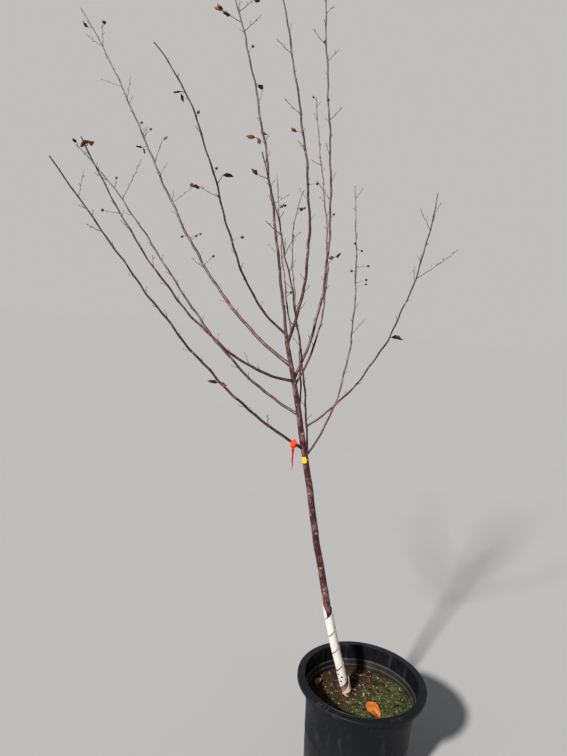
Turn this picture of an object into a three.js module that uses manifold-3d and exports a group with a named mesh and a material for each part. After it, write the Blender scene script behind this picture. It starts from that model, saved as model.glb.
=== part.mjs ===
// A young fruiting tree, bare in late autumn, standing in a full round nursery pot.
// Millimetres, Z up. The origin is the centre of the pot's flat underside,
// X runs to the right and Y away from the front.

import * as THREE from 'three';
import Module from 'manifold-3d';

const wasm = await Module();
wasm.setup();
const { Manifold, Mesh: SolidMesh } = wasm;

const GAP = 0.35; // air left between pieces that meet
const TURN = Math.PI * 2;

// Sizes of the pot
const POT = {
  height: 440,
  rimOuter: 282.5,
  rimInner: 250,
  wall: 3,
  skirtDrop: 18,
  bottomInner: 218,
  floor: 5,
  ledgeDepths: [70, 92],
  ledgeStep: 6,
  ledgeSlope: 2,
  lipChamfer: 2,
  footChamfer: 4,
  pinHole: 0.001,
  plug: { radius: 1, sides: 12 },
  sides: 56,
};
const RIB = { count: 24, width: 4, proud: 4, sunk: 1.5, top: 6, bottom: 66 };
const DRAIN = { count: 8, width: 44, height: 16, above: 14, inward: 12, outward: 14 };

// The root ball that fills the pot
const SOIL_TOP = 340;
const SOIL_SIDES = 48;

// The trunk, from its flat cut on the soil to its fork
const TRUNK = {
  foot: [-54, 46, SOIL_TOP + GAP],
  fork: [-445, 30, 1884],
  out: [180, 70.3],
  end: [181, 74.8],
  widths: [[0, 34], [0.25, 31], [0.68, 27], [0.84, 23], [1, 18]],
  flare: 3.6,
  flareHeight: 26,
  rootward: 20,
  cutBlock: 200,
  sides: 12,
  rings: 18,
};

// The spiral guard round the foot of the trunk
const GUARD = {
  pitch: 83,
  seam: 2,
  thickness: 1.2,
  radius: 18.8,
  loose: 8,
  looseFrom: -40,
  looseAngle: 140,
  firstSeam: 45,
  foot: 7,
  tongue: 6,
  startAngle: -130,
  openingAngle: 110,
  tip: 440,
  tipAngle: 1650,
  tipSlope: 1.1,
  endAngle: 1690,
  endLoose: 2.5,
  endLooseAngle: 50,
  stepAngle: 20,
};

// The band and the ribbon
const TAG = { middle: 0.681, height: 26, thickness: 1.2 };
const RIBBON = { along: 54, knotRadius: 12, knotLength: 24, heading: 20, tailThickness: 2, tailGap: 3 };
const RIBBON_TAILS = [
  { drop: 107, width: 9, forward: 10.5, lean: 3 },
  { drop: 60, width: 12, forward: 7.5, lean: -9 },
];
const SLEEVE = { clearance: 0.3, sides: 16, overrun: 4 };

// Limbs. on and at: the limb that carries it, and how far along that one it leaves.
// out and end: heading round the tree from +X and lift above the level, in degrees,
// at the limb's root and at its tip. shift: how far its root lies from the middle of
// the limb that carries it. width: across the root and across the tip.
// bough: how far along the bough ends and its twigs take over.
// A side twig has: how far along, heading, lift, length, and what it ends in.
const LIMBS = [
  {
    name: 'leader_left', on: 'trunk', at: 1, out: [139, 76], tip: [-883, 120, 3531], end: [174, 64],
    width: [13, 3.6], bough: 0.4,
    twigs: [
      [0.33, 200, 40, 108, 'leaves'], [0.338, 15, 30, 85, 'bud'], [0.482, 170, 25, 48, 'leaf'],
      [0.62, 10, 10, 14, 'leaf'], [0.742, 15, 45, 98, 'bud'], [0.762, 190, 19, 90, 'leaves'],
      [0.788, 345, 31, 78, 'leaf'],
    ],
  },
  {
    name: 'leader_middle', on: 'trunk', at: 1, out: [325, 67], tip: [-610, -130, 3398], end: [198, 80],
    width: [13, 3.6], bough: 0.4,
    twigs: [
      [0.26, 350, 52, 94, 'bud'], [0.42, 10, 5, 34, 'fruit'], [0.505, 190, 35, 38, 'bud'],
      [0.54, 165, 10, 26, 'leaf'], [0.58, 170, 36, 90, 'bud'],
    ],
  },
  {
    name: 'leader_right', on: 'trunk', at: 0.903, out: [41, 59], tip: [-411, 220, 3650], end: [77, 83],
    width: [12.5, 3.6], bough: 0.4,
    twigs: [
      [0.232, 10, 55, 96, 'bud'], [0.585, 345, 42, 73, 'bud'], [0.705, 10, 46, 67, 'bud'],
      [0.735, 170, 44, 92, 'bud'],
    ],
  },
  {
    name: 'left_high', on: 'trunk', at: 0.938, out: [153, 27], tip: [-1573, 600, 3394], end: [160, 51],
    width: [15, 3.8], bough: 0.42,
    twigs: [
      [0.312, 330, 35, 62, 'fruit'], [0.348, 195, 10, 115, 'bud'], [0.378, 350, 30, 52, 'fruit'],
      [0.384, 10, 20, 30, 'fruit'], [0.392, 175, -20, 20, 'fruit'], [0.478, 350, 33, 128, 'leaf'],
      [0.548, 20, 60, 69, 'bud'], [0.58, 340, 68, 113, 'leaf'], [0.622, 185, -15, 24, 'leaf'],
      [0.64, 20, 82, 62, 'bud'], [0.648, 330, 30, 50, 'fruit'], [0.682, 20, 5, 14, 'fruit'],
      [0.745, 25, 83, 110, 'bud'], [0.778, 170, 12, 115, 'bud'], [0.885, 190, 25, 95, 'bud'],
      [0.942, 200, -10, 20, 'leaf'],
    ],
  },
  {
    name: 'left_mid', on: 'trunk', at: 0.898, out: [214, 4], tip: [-1253, -190, 2585], end: [235, 54],
    width: [12, 4.2], bough: 0.5,
    twigs: [[0.768, 190, 0, 62, 'fruit'], [0.97, 20, 60, 30, 'leaf']],
  },
  {
    name: 'left_under', on: 'trunk', at: 0.806, out: [160, 20], tip: [-1487, 370, 2697], end: [169, 38],
    width: [12, 4], bough: 0.5,
    twigs: [[0.79, 15, 66, 205, 'bud'], [0.99, 180, 70, 26, 'leaf']],
  },
  {
    name: 'left_low', on: 'trunk', at: 0.712, out: [203, 27], tip: [-1243, -480, 2441], end: [221, 48],
    width: [12.5, 4], bough: 0.5,
    twigs: [[0.87, 180, 15, 31, 'bud'], [0.9, 20, 80, 84, 'bud']],
  },
  {
    name: 'left_top', on: 'leader_left', at: 0.021, out: [190, 33],
    tip: [-953, -390, 2842], end: [181, 44],
    width: [10, 4], bough: 0.42,
    twigs: [
      [0.408, 340, 10, 40, 'fruit'], [0.542, 170, 19, 83, 'leaf'], [0.58, 350, 59, 40, 'leaf'],
      [0.842, 190, 0, 18, 'leaf'],
    ],
  },
  {
    name: 'back_right', on: 'trunk', at: 0.885, out: [41, 53], tip: [-397, 560, 3055], end: [108, 73],
    width: [9, 3.4], bough: 0.42,
    twigs: [[0.755, 190, 17, 55, 'bud'], [0.985, 200, 40, 20, 'fruit']],
  },
  {
    name: 'back_thin', on: 'leader_middle', at: 0.03, out: [112, 56], tip: [-553, 370, 2634],
    end: [114, 70], width: [6.5, 3], bough: 0.4,
    twigs: [[0.25, 20, 0, 20, 'fruit'], [0.8, 10, 15, 24, 'leaf']],
  },
  {
    name: 'back_middle', on: 'trunk', at: 0.809, out: [85, 63], tip: [-420, 520, 2605], end: [60, 54],
    width: [7.5, 3.2], bough: 0.42,
    twigs: [[0.7, 90, 35, 90, 'fruit'], [0.86, 40, 40, 60, 'leaf']],
  },
  {
    name: 'front_thin', on: 'trunk', at: 0.7, shift: [10, -6, 0], out: [258, 66],
    tip: [-572, -480, 2504],
    end: [235, 58],
    width: [9, 3.4], bough: 0.45,
    twigs: [[0.72, 300, 40, 70, 'bud'], [0.93, 200, 10, 40, 'leaf']],
  },
  {
    name: 'right_low', on: 'front_thin', at: 0.117, out: [2, 36], tip: [38, -290, 2465], end: [293, 84],
    width: [8.5, 3.6], bough: 0.5,
    twigs: [[0.715, 350, 35, 176, 'bud'], [0.895, 10, 77, 39, 'bud']],
  },
  {
    name: 'right_upright', on: 'trunk', at: 0.69, out: [38, 45], tip: [-180, 470, 2635], end: [104, 72],
    width: [9, 3.6], bough: 0.45,
    twigs: [
      [0.632, 345, 10, 46, 'fruit'], [0.645, 10, 15, 50, 'fruit'], [0.685, 175, 0, 16, 'fruit'],
      [0.7, 5, 5, 54, 'fruit'], [0.765, 20, -20, 26, 'fruit'], [0.775, 250, 10, 22, 'fruit'],
    ],
  },
];
const LIMB_SIDES = 7;
const LIMB_RINGS = 14;
const STEM_SIDES = 5;
const STEM_RINGS = 10;
const COLLAR = 0.3; // how much wider a limb is where it leaves its parent

// The seeded rule for short spurs along a limb
const SPURS = {
  seed: 20260,
  seedStep: 101,
  first: 0.14,
  last: 0.975,
  spacing: 66,
  turn: 137.5,
  short: { share: 0.72, length: [14, 36] },
  middle: { share: 0.94, length: [40, 84] },
  long: { share: 1, length: [90, 150] },
  leafShare: 0.05,
  fruitShare: 0.04,
  spacingSpread: [0.75, 1.25],
  turnSpread: 36,
  shrink: 0.7,
  forward: 0.65,
  outward: 0.8,
  upward: 0.2,
};
const TWIG = {
  width: 3, tipWidth: 1.5, thinnest: 0.75, widest: 1.4, bend: 0.5, rise: 0.2,
  clearance: 4, spacing: 12, border: 14,
};
const LIMB_SPACING = 6;
const FRUIT = { radius: 5.6, sides: 8, hang: 0.8 };
const LEAF = {
  length: 42, width: 17, thickness: 1.4, sunk: 4, widest: 0.45,
  forward: 0.5, outward: 0.6, down: -0.55, tilt: 0.3,
  pairTurn: 2.2, twist: 70,
};

// A plain finish without metal
function finish(color, roughness) {
  return new THREE.MeshStandardMaterial({ color, roughness, metalness: 0 });
}

const bark = finish('#5b3a3a', 0.75);
const youngBark = finish('#6f4f49', 0.7);
const potPlastic = finish('#2b2d38', 0.5);
const soilMix = finish('#3a2c20', 0.95);
const guardPlastic = finish('#f4f0ee', 0.45);
const tagPlastic = finish('#ffe000', 0.5);
const ribbonPlastic = finish('#ff4b12', 0.45);

const mix = (a, b, t) => a + (b - a) * t;
const radians = THREE.MathUtils.degToRad;

// A unit vector from a heading round Z and a lift above the level
function direction([heading, lift]) {
  const level = Math.cos(radians(lift));
  return new THREE.Vector3(
    level * Math.cos(radians(heading)), level * Math.sin(radians(heading)), Math.sin(radians(lift)));
}

// Repeatable random numbers from 0 to 1
function seededRandom(seed) {
  let state = seed >>> 0;
  return () => {
    state = (state + 0x6d2b79f5) >>> 0;
    let value = Math.imul(state ^ (state >>> 15), state | 1);
    value ^= value + Math.imul(value ^ (value >>> 7), value | 61);
    return ((value ^ (value >>> 14)) >>> 0) / 2 ** 32;
  };
}

// A closed solid from vertices and faces
function solidFrom(vertices, faces) {
  return new Manifold(new SolidMesh({
    numProp: 3,
    vertProperties: new Float32Array(vertices.flatMap((p) => [p.x, p.y, p.z])),
    triVerts: new Uint32Array(faces.flat()),
  }));
}

// A closed solid from rings of equal count, each ring turning left as seen from the next
function loft(rings, closed = false) {
  const count = rings[0].length;
  const faces = [];
  const last = closed ? rings.length : rings.length - 1;
  for (let r = 0; r < last; r += 1) {
    const low = r * count;
    const high = ((r + 1) % rings.length) * count;
    for (let i = 0; i < count; i += 1) {
      const next = (i + 1) % count;
      faces.push([low + i, low + next, high + next], [low + i, high + next, high + i]);
    }
  }
  if (!closed) {
    const top = (rings.length - 1) * count;
    for (let i = 1; i < count - 1; i += 1) {
      faces.push([0, i + 1, i], [top, top + i, top + i + 1]);
    }
  }
  return solidFrom(rings.flat(), faces);
}

// Two vectors square to each tangent, carried along with as little twist as possible
function carriedFrames(tangents) {
  const level = new THREE.Vector3(-tangents[0].y, tangents[0].x, 0);
  let side = level.length() > 0.01 ? level.normalize() : new THREE.Vector3(1, 0, 0);
  return tangents.map((tangent) => {
    side = side.clone().addScaledVector(tangent, -side.dot(tangent)).normalize();
    return { side, up: new THREE.Vector3().crossVectors(tangent, side) };
  });
}

// A ring of points round a centre
function ring(centre, frame, radius, sides) {
  return Array.from({ length: sides }, (_, i) => {
    const angle = (TURN * i) / sides;
    return centre.clone()
      .addScaledVector(frame.side, radius * Math.cos(angle))
      .addScaledVector(frame.up, radius * Math.sin(angle));
  });
}

// A tapering tube between two places on a curve, wider all round by extra
function tube(curve, from, to, radiusAt, sides, rings, extra = 0) {
  const places = Array.from({ length: rings + 1 }, (_, i) => mix(from, to, i / rings));
  const tangents = places.map((t) => curve.getTangent(t));
  const frames = carriedFrames(tangents);
  const centres = places.map((t) => curve.getPoint(t));
  centres[rings].addScaledVector(tangents[rings], extra);
  return loft(places.map((t, i) => ring(centres[i], frames[i], radiusAt(t) + extra, sides)));
}

// A limb's curve: it leaves its root along one direction and reaches its tip along another
function limbCurve(root, out, tip, end) {
  const handle = root.distanceTo(tip) / 3;
  return new THREE.CubicBezierCurve3(
    root, root.clone().addScaledVector(direction(out), handle),
    tip.clone().addScaledVector(direction(end), -handle), tip);
}

// Straight lines between named places, as for a trunk's widths
function readTable(table, t) {
  const upper = Math.max(1, table.findIndex(([place]) => place >= t));
  const [low, high] = [table[upper - 1], table[upper]];
  return mix(low[1], high[1], (t - low[0]) / (high[0] - low[0]));
}

const group = new THREE.Group();

// A named mesh from a solid
function addPiece(name, solid, material) {
  const { vertProperties, triVerts } = solid.getMesh();
  const geometry = new THREE.BufferGeometry();
  geometry.setAttribute('position', new THREE.BufferAttribute(new Float32Array(vertProperties), 3));
  geometry.setIndex(new THREE.BufferAttribute(new Uint32Array(triVerts), 1));
  geometry.computeVertexNormals();
  const mesh = new THREE.Mesh(geometry, material);
  mesh.name = name;
  group.add(mesh);
}

// A solid turned round Z from a closed outline of radius and height
function turned(outline, sides) {
  const rings = Array.from({ length: sides }, (_, i) => {
    const angle = (-TURN * i) / sides;
    return outline.map(([r, z]) => new THREE.Vector3(r * Math.cos(angle), r * Math.sin(angle), z));
  });
  return loft(rings, true);
}

// A box between two corners, turned round Z
function turnedBox(low, high, angle) {
  const size = high.map((v, i) => v - low[i]);
  return Manifold.cube(size).translate(low).rotate([0, 0, angle]);
}

// The pot's inner radius at a height, without its ledges
function potInnerRadius(z) {
  const stepped = POT.ledgeStep * POT.ledgeDepths.length;
  return mix(POT.bottomInner + stepped, POT.rimInner, z / POT.height);
}

// Inner radius below the ledges
const belowLedges = (z) => potInnerRadius(z) - POT.ledgeStep * POT.ledgeDepths.length;

function buildPot() {
  const inner = [];
  const outer = [];
  let step = 0;
  for (const depth of POT.ledgeDepths) {
    const z = POT.height - depth;
    const above = potInnerRadius(z) - step;
    const below = above - POT.ledgeStep;
    inner.push([above, z], [below, z - POT.ledgeSlope]);
    outer.push([above + POT.wall, z - POT.wall], [below + POT.wall, z - POT.wall - POT.ledgeSlope]);
    step += POT.ledgeStep;
  }
  const underRim = POT.height - POT.wall;
  const outline = [
    [POT.rimInner, POT.height],
    ...inner,
    [belowLedges(POT.floor), POT.floor],
    [POT.pinHole, POT.floor],
    [POT.pinHole, 0],
    [POT.bottomInner + POT.wall - POT.footChamfer, 0],
    [POT.bottomInner + POT.wall, POT.footChamfer],
    ...outer.reverse(),
    [POT.rimInner + POT.wall, underRim],
    [POT.rimOuter - POT.wall, underRim],
    [POT.rimOuter - POT.wall, POT.height - POT.skirtDrop],
    [POT.rimOuter, POT.height - POT.skirtDrop],
    [POT.rimOuter, POT.height - POT.lipChamfer],
    [POT.rimOuter - POT.lipChamfer, POT.height],
  ];
  // The outline runs round the wall, and a small plug closes the pin hole on the axis.
  let pot = turned(outline, POT.sides);
  pot = pot.add(Manifold.cylinder(POT.floor, POT.plug.radius, POT.plug.radius, POT.plug.sides));
  for (let i = 0; i < RIB.count; i += 1) {
    const top = POT.height - RIB.top;
    const bottom = POT.height - RIB.bottom;
    const radius = potInnerRadius(bottom);
    const low = [radius - RIB.proud, -RIB.width / 2, bottom];
    const high = [radius + RIB.sunk, RIB.width / 2, top];
    pot = pot.add(turnedBox(low, high, (360 * (i + 0.5)) / RIB.count));
  }
  for (let i = 0; i < DRAIN.count; i += 1) {
    const low = [POT.bottomInner - DRAIN.inward, -DRAIN.width / 2, DRAIN.above];
    const high = [POT.bottomInner + DRAIN.outward, DRAIN.width / 2, DRAIN.above + DRAIN.height];
    pot = pot.subtract(turnedBox(low, high, (360 * i) / DRAIN.count));
  }
  addPiece('pot', pot, potPlastic);
}

function buildSoil() {
  const low = POT.floor + GAP;
  const facets = Math.cos(Math.PI / SOIL_SIDES);
  const foot = (belowLedges(low) - GAP) * facets;
  const crown = (belowLedges(SOIL_TOP) - GAP) * facets;
  const soil = Manifold.cylinder(SOIL_TOP - low, foot, crown, SOIL_SIDES).translate([0, 0, low]);
  addPiece('root_ball', soil, soilMix);
}

// Every limb by name: its curve, its radius and the solid its children are cut clear of
const grown = new Map();

function growTrunk() {
  const foot = new THREE.Vector3(...TRUNK.foot);
  const fork = new THREE.Vector3(...TRUNK.fork);
  const curve = limbCurve(foot, TRUNK.out, fork, TRUNK.end);
  const length = curve.getLength();
  const radiusAt = (t) => readTable(TRUNK.widths, t) / 2
    + TRUNK.flare * Math.exp((-t * length) / TRUNK.flareHeight);
  const make = (extra) => tube(curve, 0, 1, radiusAt, TRUNK.sides, TRUNK.rings, extra);
  // The foot is cut off level with the soil.
  const block = TRUNK.cutBlock;
  const level = Manifold.cube([block, block, block], true).translate([foot.x, foot.y, foot.z - block / 2]);
  const below = foot.clone().addScaledVector(direction(TRUNK.out), -TRUNK.rootward);
  const rootward = tube(new THREE.LineCurve3(below, foot), 0, 1, () => radiusAt(0), TRUNK.sides, 1);
  addPiece('trunk', make(0).add(rootward).subtract(level), bark);
  grown.set('trunk', { curve, length, radiusAt, solid: make(GAP) });
}

// A limb's radius: an even taper with a collar at the root
function limbRadius(limb, length) {
  const [root, tip] = limb.width;
  return (t) => mix(root, tip, t) / 2 + ((COLLAR * root) / 2) * Math.exp((-t * length) / root);
}

function growBough(limb) {
  const parent = grown.get(limb.on);
  const root = parent.curve.getPoint(limb.at).add(new THREE.Vector3(...(limb.shift ?? [0, 0, 0])));
  const curve = limbCurve(root, limb.out, new THREE.Vector3(...limb.tip), limb.end);
  const length = curve.getLength();
  const radiusAt = limbRadius(limb, length);
  const make = (extra) => tube(curve, 0, limb.bough, radiusAt, LIMB_SIDES, LIMB_RINGS, extra);
  let bough = make(0);
  for (const other of grown.values()) {
    bough = bough.subtract(other.solid);
  }
  const largest = bough.decompose().sort((a, b) => b.volume() - a.volume())[0];
  addPiece(`bough_${limb.name}`, largest, bark);
  grown.set(limb.name, { curve, length, radiusAt, solid: make(GAP) });
}

// Where a twig ends, and which way it points past its bend
function twigEnd(twig) {
  const lifted = twig.direction.clone().addScaledVector(new THREE.Vector3(0, 0, 1), TWIG.rise).normalize();
  const tip = twig.start.clone().addScaledVector(twig.direction, twig.length * TWIG.bend)
    .addScaledVector(lifted, twig.length * (1 - TWIG.bend));
  return { tip, direction: lifted };
}

// A twig: a three-sided spike that bends up a little, with its root inside the stem
function twigSolid(twig) {
  const end = twigEnd(twig);
  const bend = twig.start.clone().addScaledVector(twig.direction, twig.length * TWIG.bend);
  const frames = carriedFrames([twig.direction, twig.direction, end.direction]);
  const widths = [twig.width, mix(twig.width, TWIG.tipWidth, TWIG.bend), TWIG.tipWidth];
  return loft([twig.start, bend, end.tip].map((centre, i) => ring(centre, frames[i], widths[i] / 2, 3)));
}

// A withered leaf: a thin blade of eight faces, hanging from a twig's end
function leafSolid(end, turn) {
  const outward = new THREE.Vector3(LEAF.outward * Math.cos(turn), LEAF.outward * Math.sin(turn), LEAF.down);
  const along = end.direction.clone().multiplyScalar(LEAF.forward).add(outward).normalize();
  const across = new THREE.Vector3(-Math.sin(turn), Math.cos(turn), LEAF.tilt).normalize();
  across.addScaledVector(along, -across.dot(along)).normalize();
  const face = new THREE.Vector3().crossVectors(along, across);
  const root = end.tip.clone()
    .addScaledVector(end.direction, -LEAF.sunk / 2)
    .addScaledVector(along, -LEAF.sunk);
  const middle = root.clone().addScaledVector(along, LEAF.length * LEAF.widest);
  const points = [
    root,
    middle.clone().addScaledVector(across, LEAF.width / 2),
    middle.clone().addScaledVector(face, LEAF.thickness / 2),
    middle.clone().addScaledVector(across, -LEAF.width / 2),
    middle.clone().addScaledVector(face, -LEAF.thickness / 2),
    root.clone().addScaledVector(along, LEAF.length),
  ];
  const faces = [];
  for (let i = 0; i < 4; i += 1) {
    const next = (i + 1) % 4;
    faces.push([0, 1 + next, 1 + i], [5, 1 + i, 1 + next]);
  }
  return solidFrom(points, faces);
}

function fruitSolid(end) {
  const centre = end.tip.clone().addScaledVector(end.direction, FRUIT.radius * FRUIT.hang);
  return Manifold.sphere(FRUIT.radius, FRUIT.sides).translate([centre.x, centre.y, centre.z]);
}

// A limb's named side twigs
function namedTwigs(limb) {
  const { curve, radiusAt } = grown.get(limb.name);
  return limb.twigs.map(([at, heading, lift, length, ending]) => ({
    at,
    start: curve.getPoint(at),
    direction: direction([heading, lift]),
    length,
    ending,
    width: Math.min(TWIG.width, radiusAt(at) * TWIG.widest),
    turn: radians(heading + LEAF.twist),
  }));
}

// What a spur ends in, for a random number from 0 to 1
function spurEnding(chance) {
  if (chance < SPURS.leafShare) {
    return 'leaf';
  }
  return chance < SPURS.leafShare + SPURS.fruitShare ? 'fruit' : 'bud';
}

// The seeded spurs of a limb, at an even turn from one to the next
function seededSpurs(limb, order) {
  const { curve, length, radiusAt } = grown.get(limb.name);
  const random = seededRandom(SPURS.seed + order * SPURS.seedStep);
  const places = [];
  let place = SPURS.first;
  while (place < SPURS.last) {
    places.push(place);
    place += (SPURS.spacing * mix(...SPURS.spacingSpread, random())) / length;
  }
  const frames = carriedFrames(places.map((at) => curve.getTangent(at)));
  return places.map((at, i) => {
    const kind = random();
    const size = [SPURS.short, SPURS.middle, SPURS.long].find(({ share }) => kind < share);
    const reach = mix(...size.length, random()) * mix(1, SPURS.shrink, at);
    const turn = radians(SPURS.turn * i + SPURS.turnSpread * random());
    const ending = spurEnding(random());
    const side = frames[i].side.clone().multiplyScalar(Math.cos(turn))
      .addScaledVector(frames[i].up, Math.sin(turn));
    const heading = curve.getTangent(at).multiplyScalar(SPURS.forward).addScaledVector(side, SPURS.outward);
    heading.z += SPURS.upward;
    const width = TWIG.width * mix(TWIG.thinnest, 1, reach / SPURS.long.length[1]);
    return {
      at,
      start: curve.getPoint(at),
      direction: heading.normalize(),
      length: reach + radiusAt(at),
      ending,
      width: Math.min(width, radiusAt(at) * TWIG.widest),
      turn,
    };
  });
}

// Points along a twig, with the room that each one needs
function twigRoom(twig) {
  const { tip } = twigEnd(twig);
  const count = Math.ceil(twig.length / TWIG.spacing) + 1;
  const room = twig.width / 2;
  const points = Array.from({ length: count }, (_, i) => ({
    point: twig.start.clone().lerp(tip, (i + 1) / count), room,
  }));
  const ends = { fruit: FRUIT.radius * 2, leaf: LEAF.length, leaves: LEAF.length };
  points.push({ point: tip, room: ends[twig.ending] ?? room });
  return points;
}

// Points along every limb, then along every twig that has been placed
const taken = [];

function noteLimb(name) {
  const { curve, length, radiusAt } = grown.get(name);
  const count = Math.ceil(length / LIMB_SPACING);
  for (let i = 0; i <= count; i += 1) {
    taken.push({ owner: name, point: curve.getPoint(i / count), room: radiusAt(i / count) });
  }
}

function isClear(owner, points) {
  return points.every(({ point, room }) => taken.every((other) => other.owner === owner
    || other.point.distanceTo(point) > other.room + room + TWIG.clearance));
}

// A mass: the stem that carries a bough on to its tip, with its twigs, leaves and fruit
function growMass(limb, order) {
  const { curve, length, radiusAt } = grown.get(limb.name);
  const from = limb.bough + GAP / length;
  const pieces = [tube(curve, from, 1, radiusAt, STEM_SIDES, STEM_RINGS)];
  for (const twig of [...namedTwigs(limb), ...seededSpurs(limb, order)]) {
    const room = twigRoom(twig);
    if (twig.at < limb.bough + TWIG.border / length || !isClear(limb.name, room)) {
      continue;
    }
    pieces.push(twigSolid(twig));
    taken.push(...room.map((place) => ({ owner: limb.name, ...place })));
    const end = twigEnd(twig);
    if (twig.ending === 'fruit') {
      pieces.push(fruitSolid(end));
    }
    if (twig.ending === 'leaf' || twig.ending === 'leaves') {
      pieces.push(leafSolid(end, twig.turn));
    }
    if (twig.ending === 'leaves') {
      pieces.push(leafSolid(end, twig.turn + LEAF.pairTurn));
    }
  }
  addPiece(`twigs_${limb.name}`, Manifold.union(pieces), youngBark);
}

// The guard is one strip wound up the trunk. Its first end hangs loose at the foot.
function buildGuard() {
  const { curve, length } = grown.get('trunk');
  const rings = [];
  for (let angle = GUARD.startAngle; angle <= GUARD.endAngle; angle += GUARD.stepAngle) {
    const along = GUARD.firstSeam - GUARD.pitch + (GUARD.pitch * (angle + 90)) / 360;
    const low = Math.max(along, GUARD.foot);
    const opening = Math.min(1, (angle - GUARD.startAngle) / GUARD.openingAngle);
    const full = mix(low + GUARD.tongue, along + GUARD.pitch - GUARD.seam, opening);
    const cut = GUARD.tip - GUARD.tipSlope * Math.max(0, angle - GUARD.tipAngle);
    const high = Math.max(low + GUARD.tongue, Math.min(full, cut));
    const fromStart = Math.max(0, angle - GUARD.looseFrom) / GUARD.looseAngle;
    const fromEnd = (GUARD.endAngle - angle) / GUARD.endLooseAngle;
    const loose = GUARD.loose * Math.exp(-fromStart) + GUARD.endLoose * Math.exp(-fromEnd);
    const radius = GUARD.radius + loose;
    const outside = radius + GUARD.thickness;
    const corners = [[radius, high], [outside, high], [outside, low], [radius, low]];
    rings.push(corners.map(([r, s]) => {
      const t = s / length;
      const centre = curve.getPoint(t);
      const tangent = curve.getTangent(t);
      const right = new THREE.Vector3(1, 0, 0).addScaledVector(tangent, -tangent.x).normalize();
      const back = new THREE.Vector3().crossVectors(tangent, right);
      return centre.addScaledVector(right, r * Math.cos(radians(angle)))
        .addScaledVector(back, r * Math.sin(radians(angle)));
    }));
  }
  addPiece('trunk_guard', loft(rings), guardPlastic);
}

// A short sleeve round a limb
function sleeve(name, middle, height, thickness) {
  const { curve, length, radiusAt } = grown.get(name);
  const from = middle - height / 2 / length;
  const to = middle + height / 2 / length;
  const bore = GAP + SLEEVE.clearance;
  const wide = (extra) => (t) => radiusAt(t) + extra;
  const outer = tube(curve, from, to, wide(bore + thickness), SLEEVE.sides, 1);
  const beyond = SLEEVE.overrun / length;
  return outer.subtract(tube(curve, from - beyond, to + beyond, wide(bore), SLEEVE.sides, 1));
}

function buildTag() {
  addPiece('tag_band', sleeve('trunk', TAG.middle, TAG.height, TAG.thickness), tagPlastic);
}

// The ribbon is tied round the lowest limb on the left, and its two ends hang from the knot
function buildRibbon() {
  const { curve, length, radiusAt } = grown.get('left_low');
  const at = RIBBON.along / length;
  const radius = radiusAt(at);
  const knot = sleeve('left_low', at, RIBBON.knotLength, RIBBON.knotRadius - radius);
  const centre = curve.getPoint(at);
  const tails = RIBBON_TAILS.map(({ drop, width, forward, lean }) => Manifold
    .cube([width, RIBBON.tailThickness, drop - radius - RIBBON.tailGap])
    .translate([-width / 2, -forward, -drop])
    .rotate([0, lean, RIBBON.heading])
    .translate([centre.x, centre.y, centre.z]));
  addPiece('flag_ribbon', Manifold.union([knot, ...tails]), ribbonPlastic);
}

buildPot();
buildSoil();
growTrunk();
LIMBS.forEach(growBough);
['trunk', ...LIMBS.map(({ name }) => name)].forEach(noteLimb);
LIMBS.forEach(growMass);
buildGuard();
buildTag();
buildRibbon();

export default group;
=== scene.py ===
"""A young fruiting tree, bare in late autumn, standing in a full round nursery pot.

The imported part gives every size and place. This file dresses it: bark with its relief, twigs and
buds grown on by the part's own rule, withered leaves, fruit, a moulded pot, potting mix, a spiral
trunk guard, a label and a length of marking tape. Lengths are in metres, X right, Y away, Z up.
"""

import math
from functools import lru_cache

import bpy
import numpy as np
from bpy.props import FloatProperty, FloatVectorProperty, IntProperty, PointerProperty
from bpy.types import Operator, Panel, PropertyGroup
from mathutils import Matrix, Vector


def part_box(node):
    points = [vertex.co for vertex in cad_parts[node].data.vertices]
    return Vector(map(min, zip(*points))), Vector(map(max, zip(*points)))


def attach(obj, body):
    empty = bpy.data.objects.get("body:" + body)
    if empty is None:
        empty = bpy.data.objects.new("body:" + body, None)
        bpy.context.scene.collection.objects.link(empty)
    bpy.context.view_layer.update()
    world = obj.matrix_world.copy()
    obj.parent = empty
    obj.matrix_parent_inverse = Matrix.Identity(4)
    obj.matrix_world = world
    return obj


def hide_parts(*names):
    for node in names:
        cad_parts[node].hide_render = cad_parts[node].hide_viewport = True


bl_info = {
    "name": "Potted Sapling",
    "version": (1, 0, 0),
    "blender": (4, 5, 0),
    "location": "View3D > Sidebar > Sapling",
    "description": "Dresses a packed young tree with bark, twigs, leaves and fruit, in its nursery pot",
    "category": "Object",
}

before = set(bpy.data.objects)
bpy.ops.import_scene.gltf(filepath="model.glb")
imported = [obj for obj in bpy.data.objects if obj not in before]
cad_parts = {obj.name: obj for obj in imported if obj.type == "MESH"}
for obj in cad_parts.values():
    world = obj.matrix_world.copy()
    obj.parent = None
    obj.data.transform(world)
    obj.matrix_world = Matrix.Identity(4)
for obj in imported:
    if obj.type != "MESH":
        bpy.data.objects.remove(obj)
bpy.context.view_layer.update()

MM = 0.001
TURN = 2 * math.pi
# Keeps a whole number to 32 bits
WORD = 0xFFFFFFFF

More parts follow.
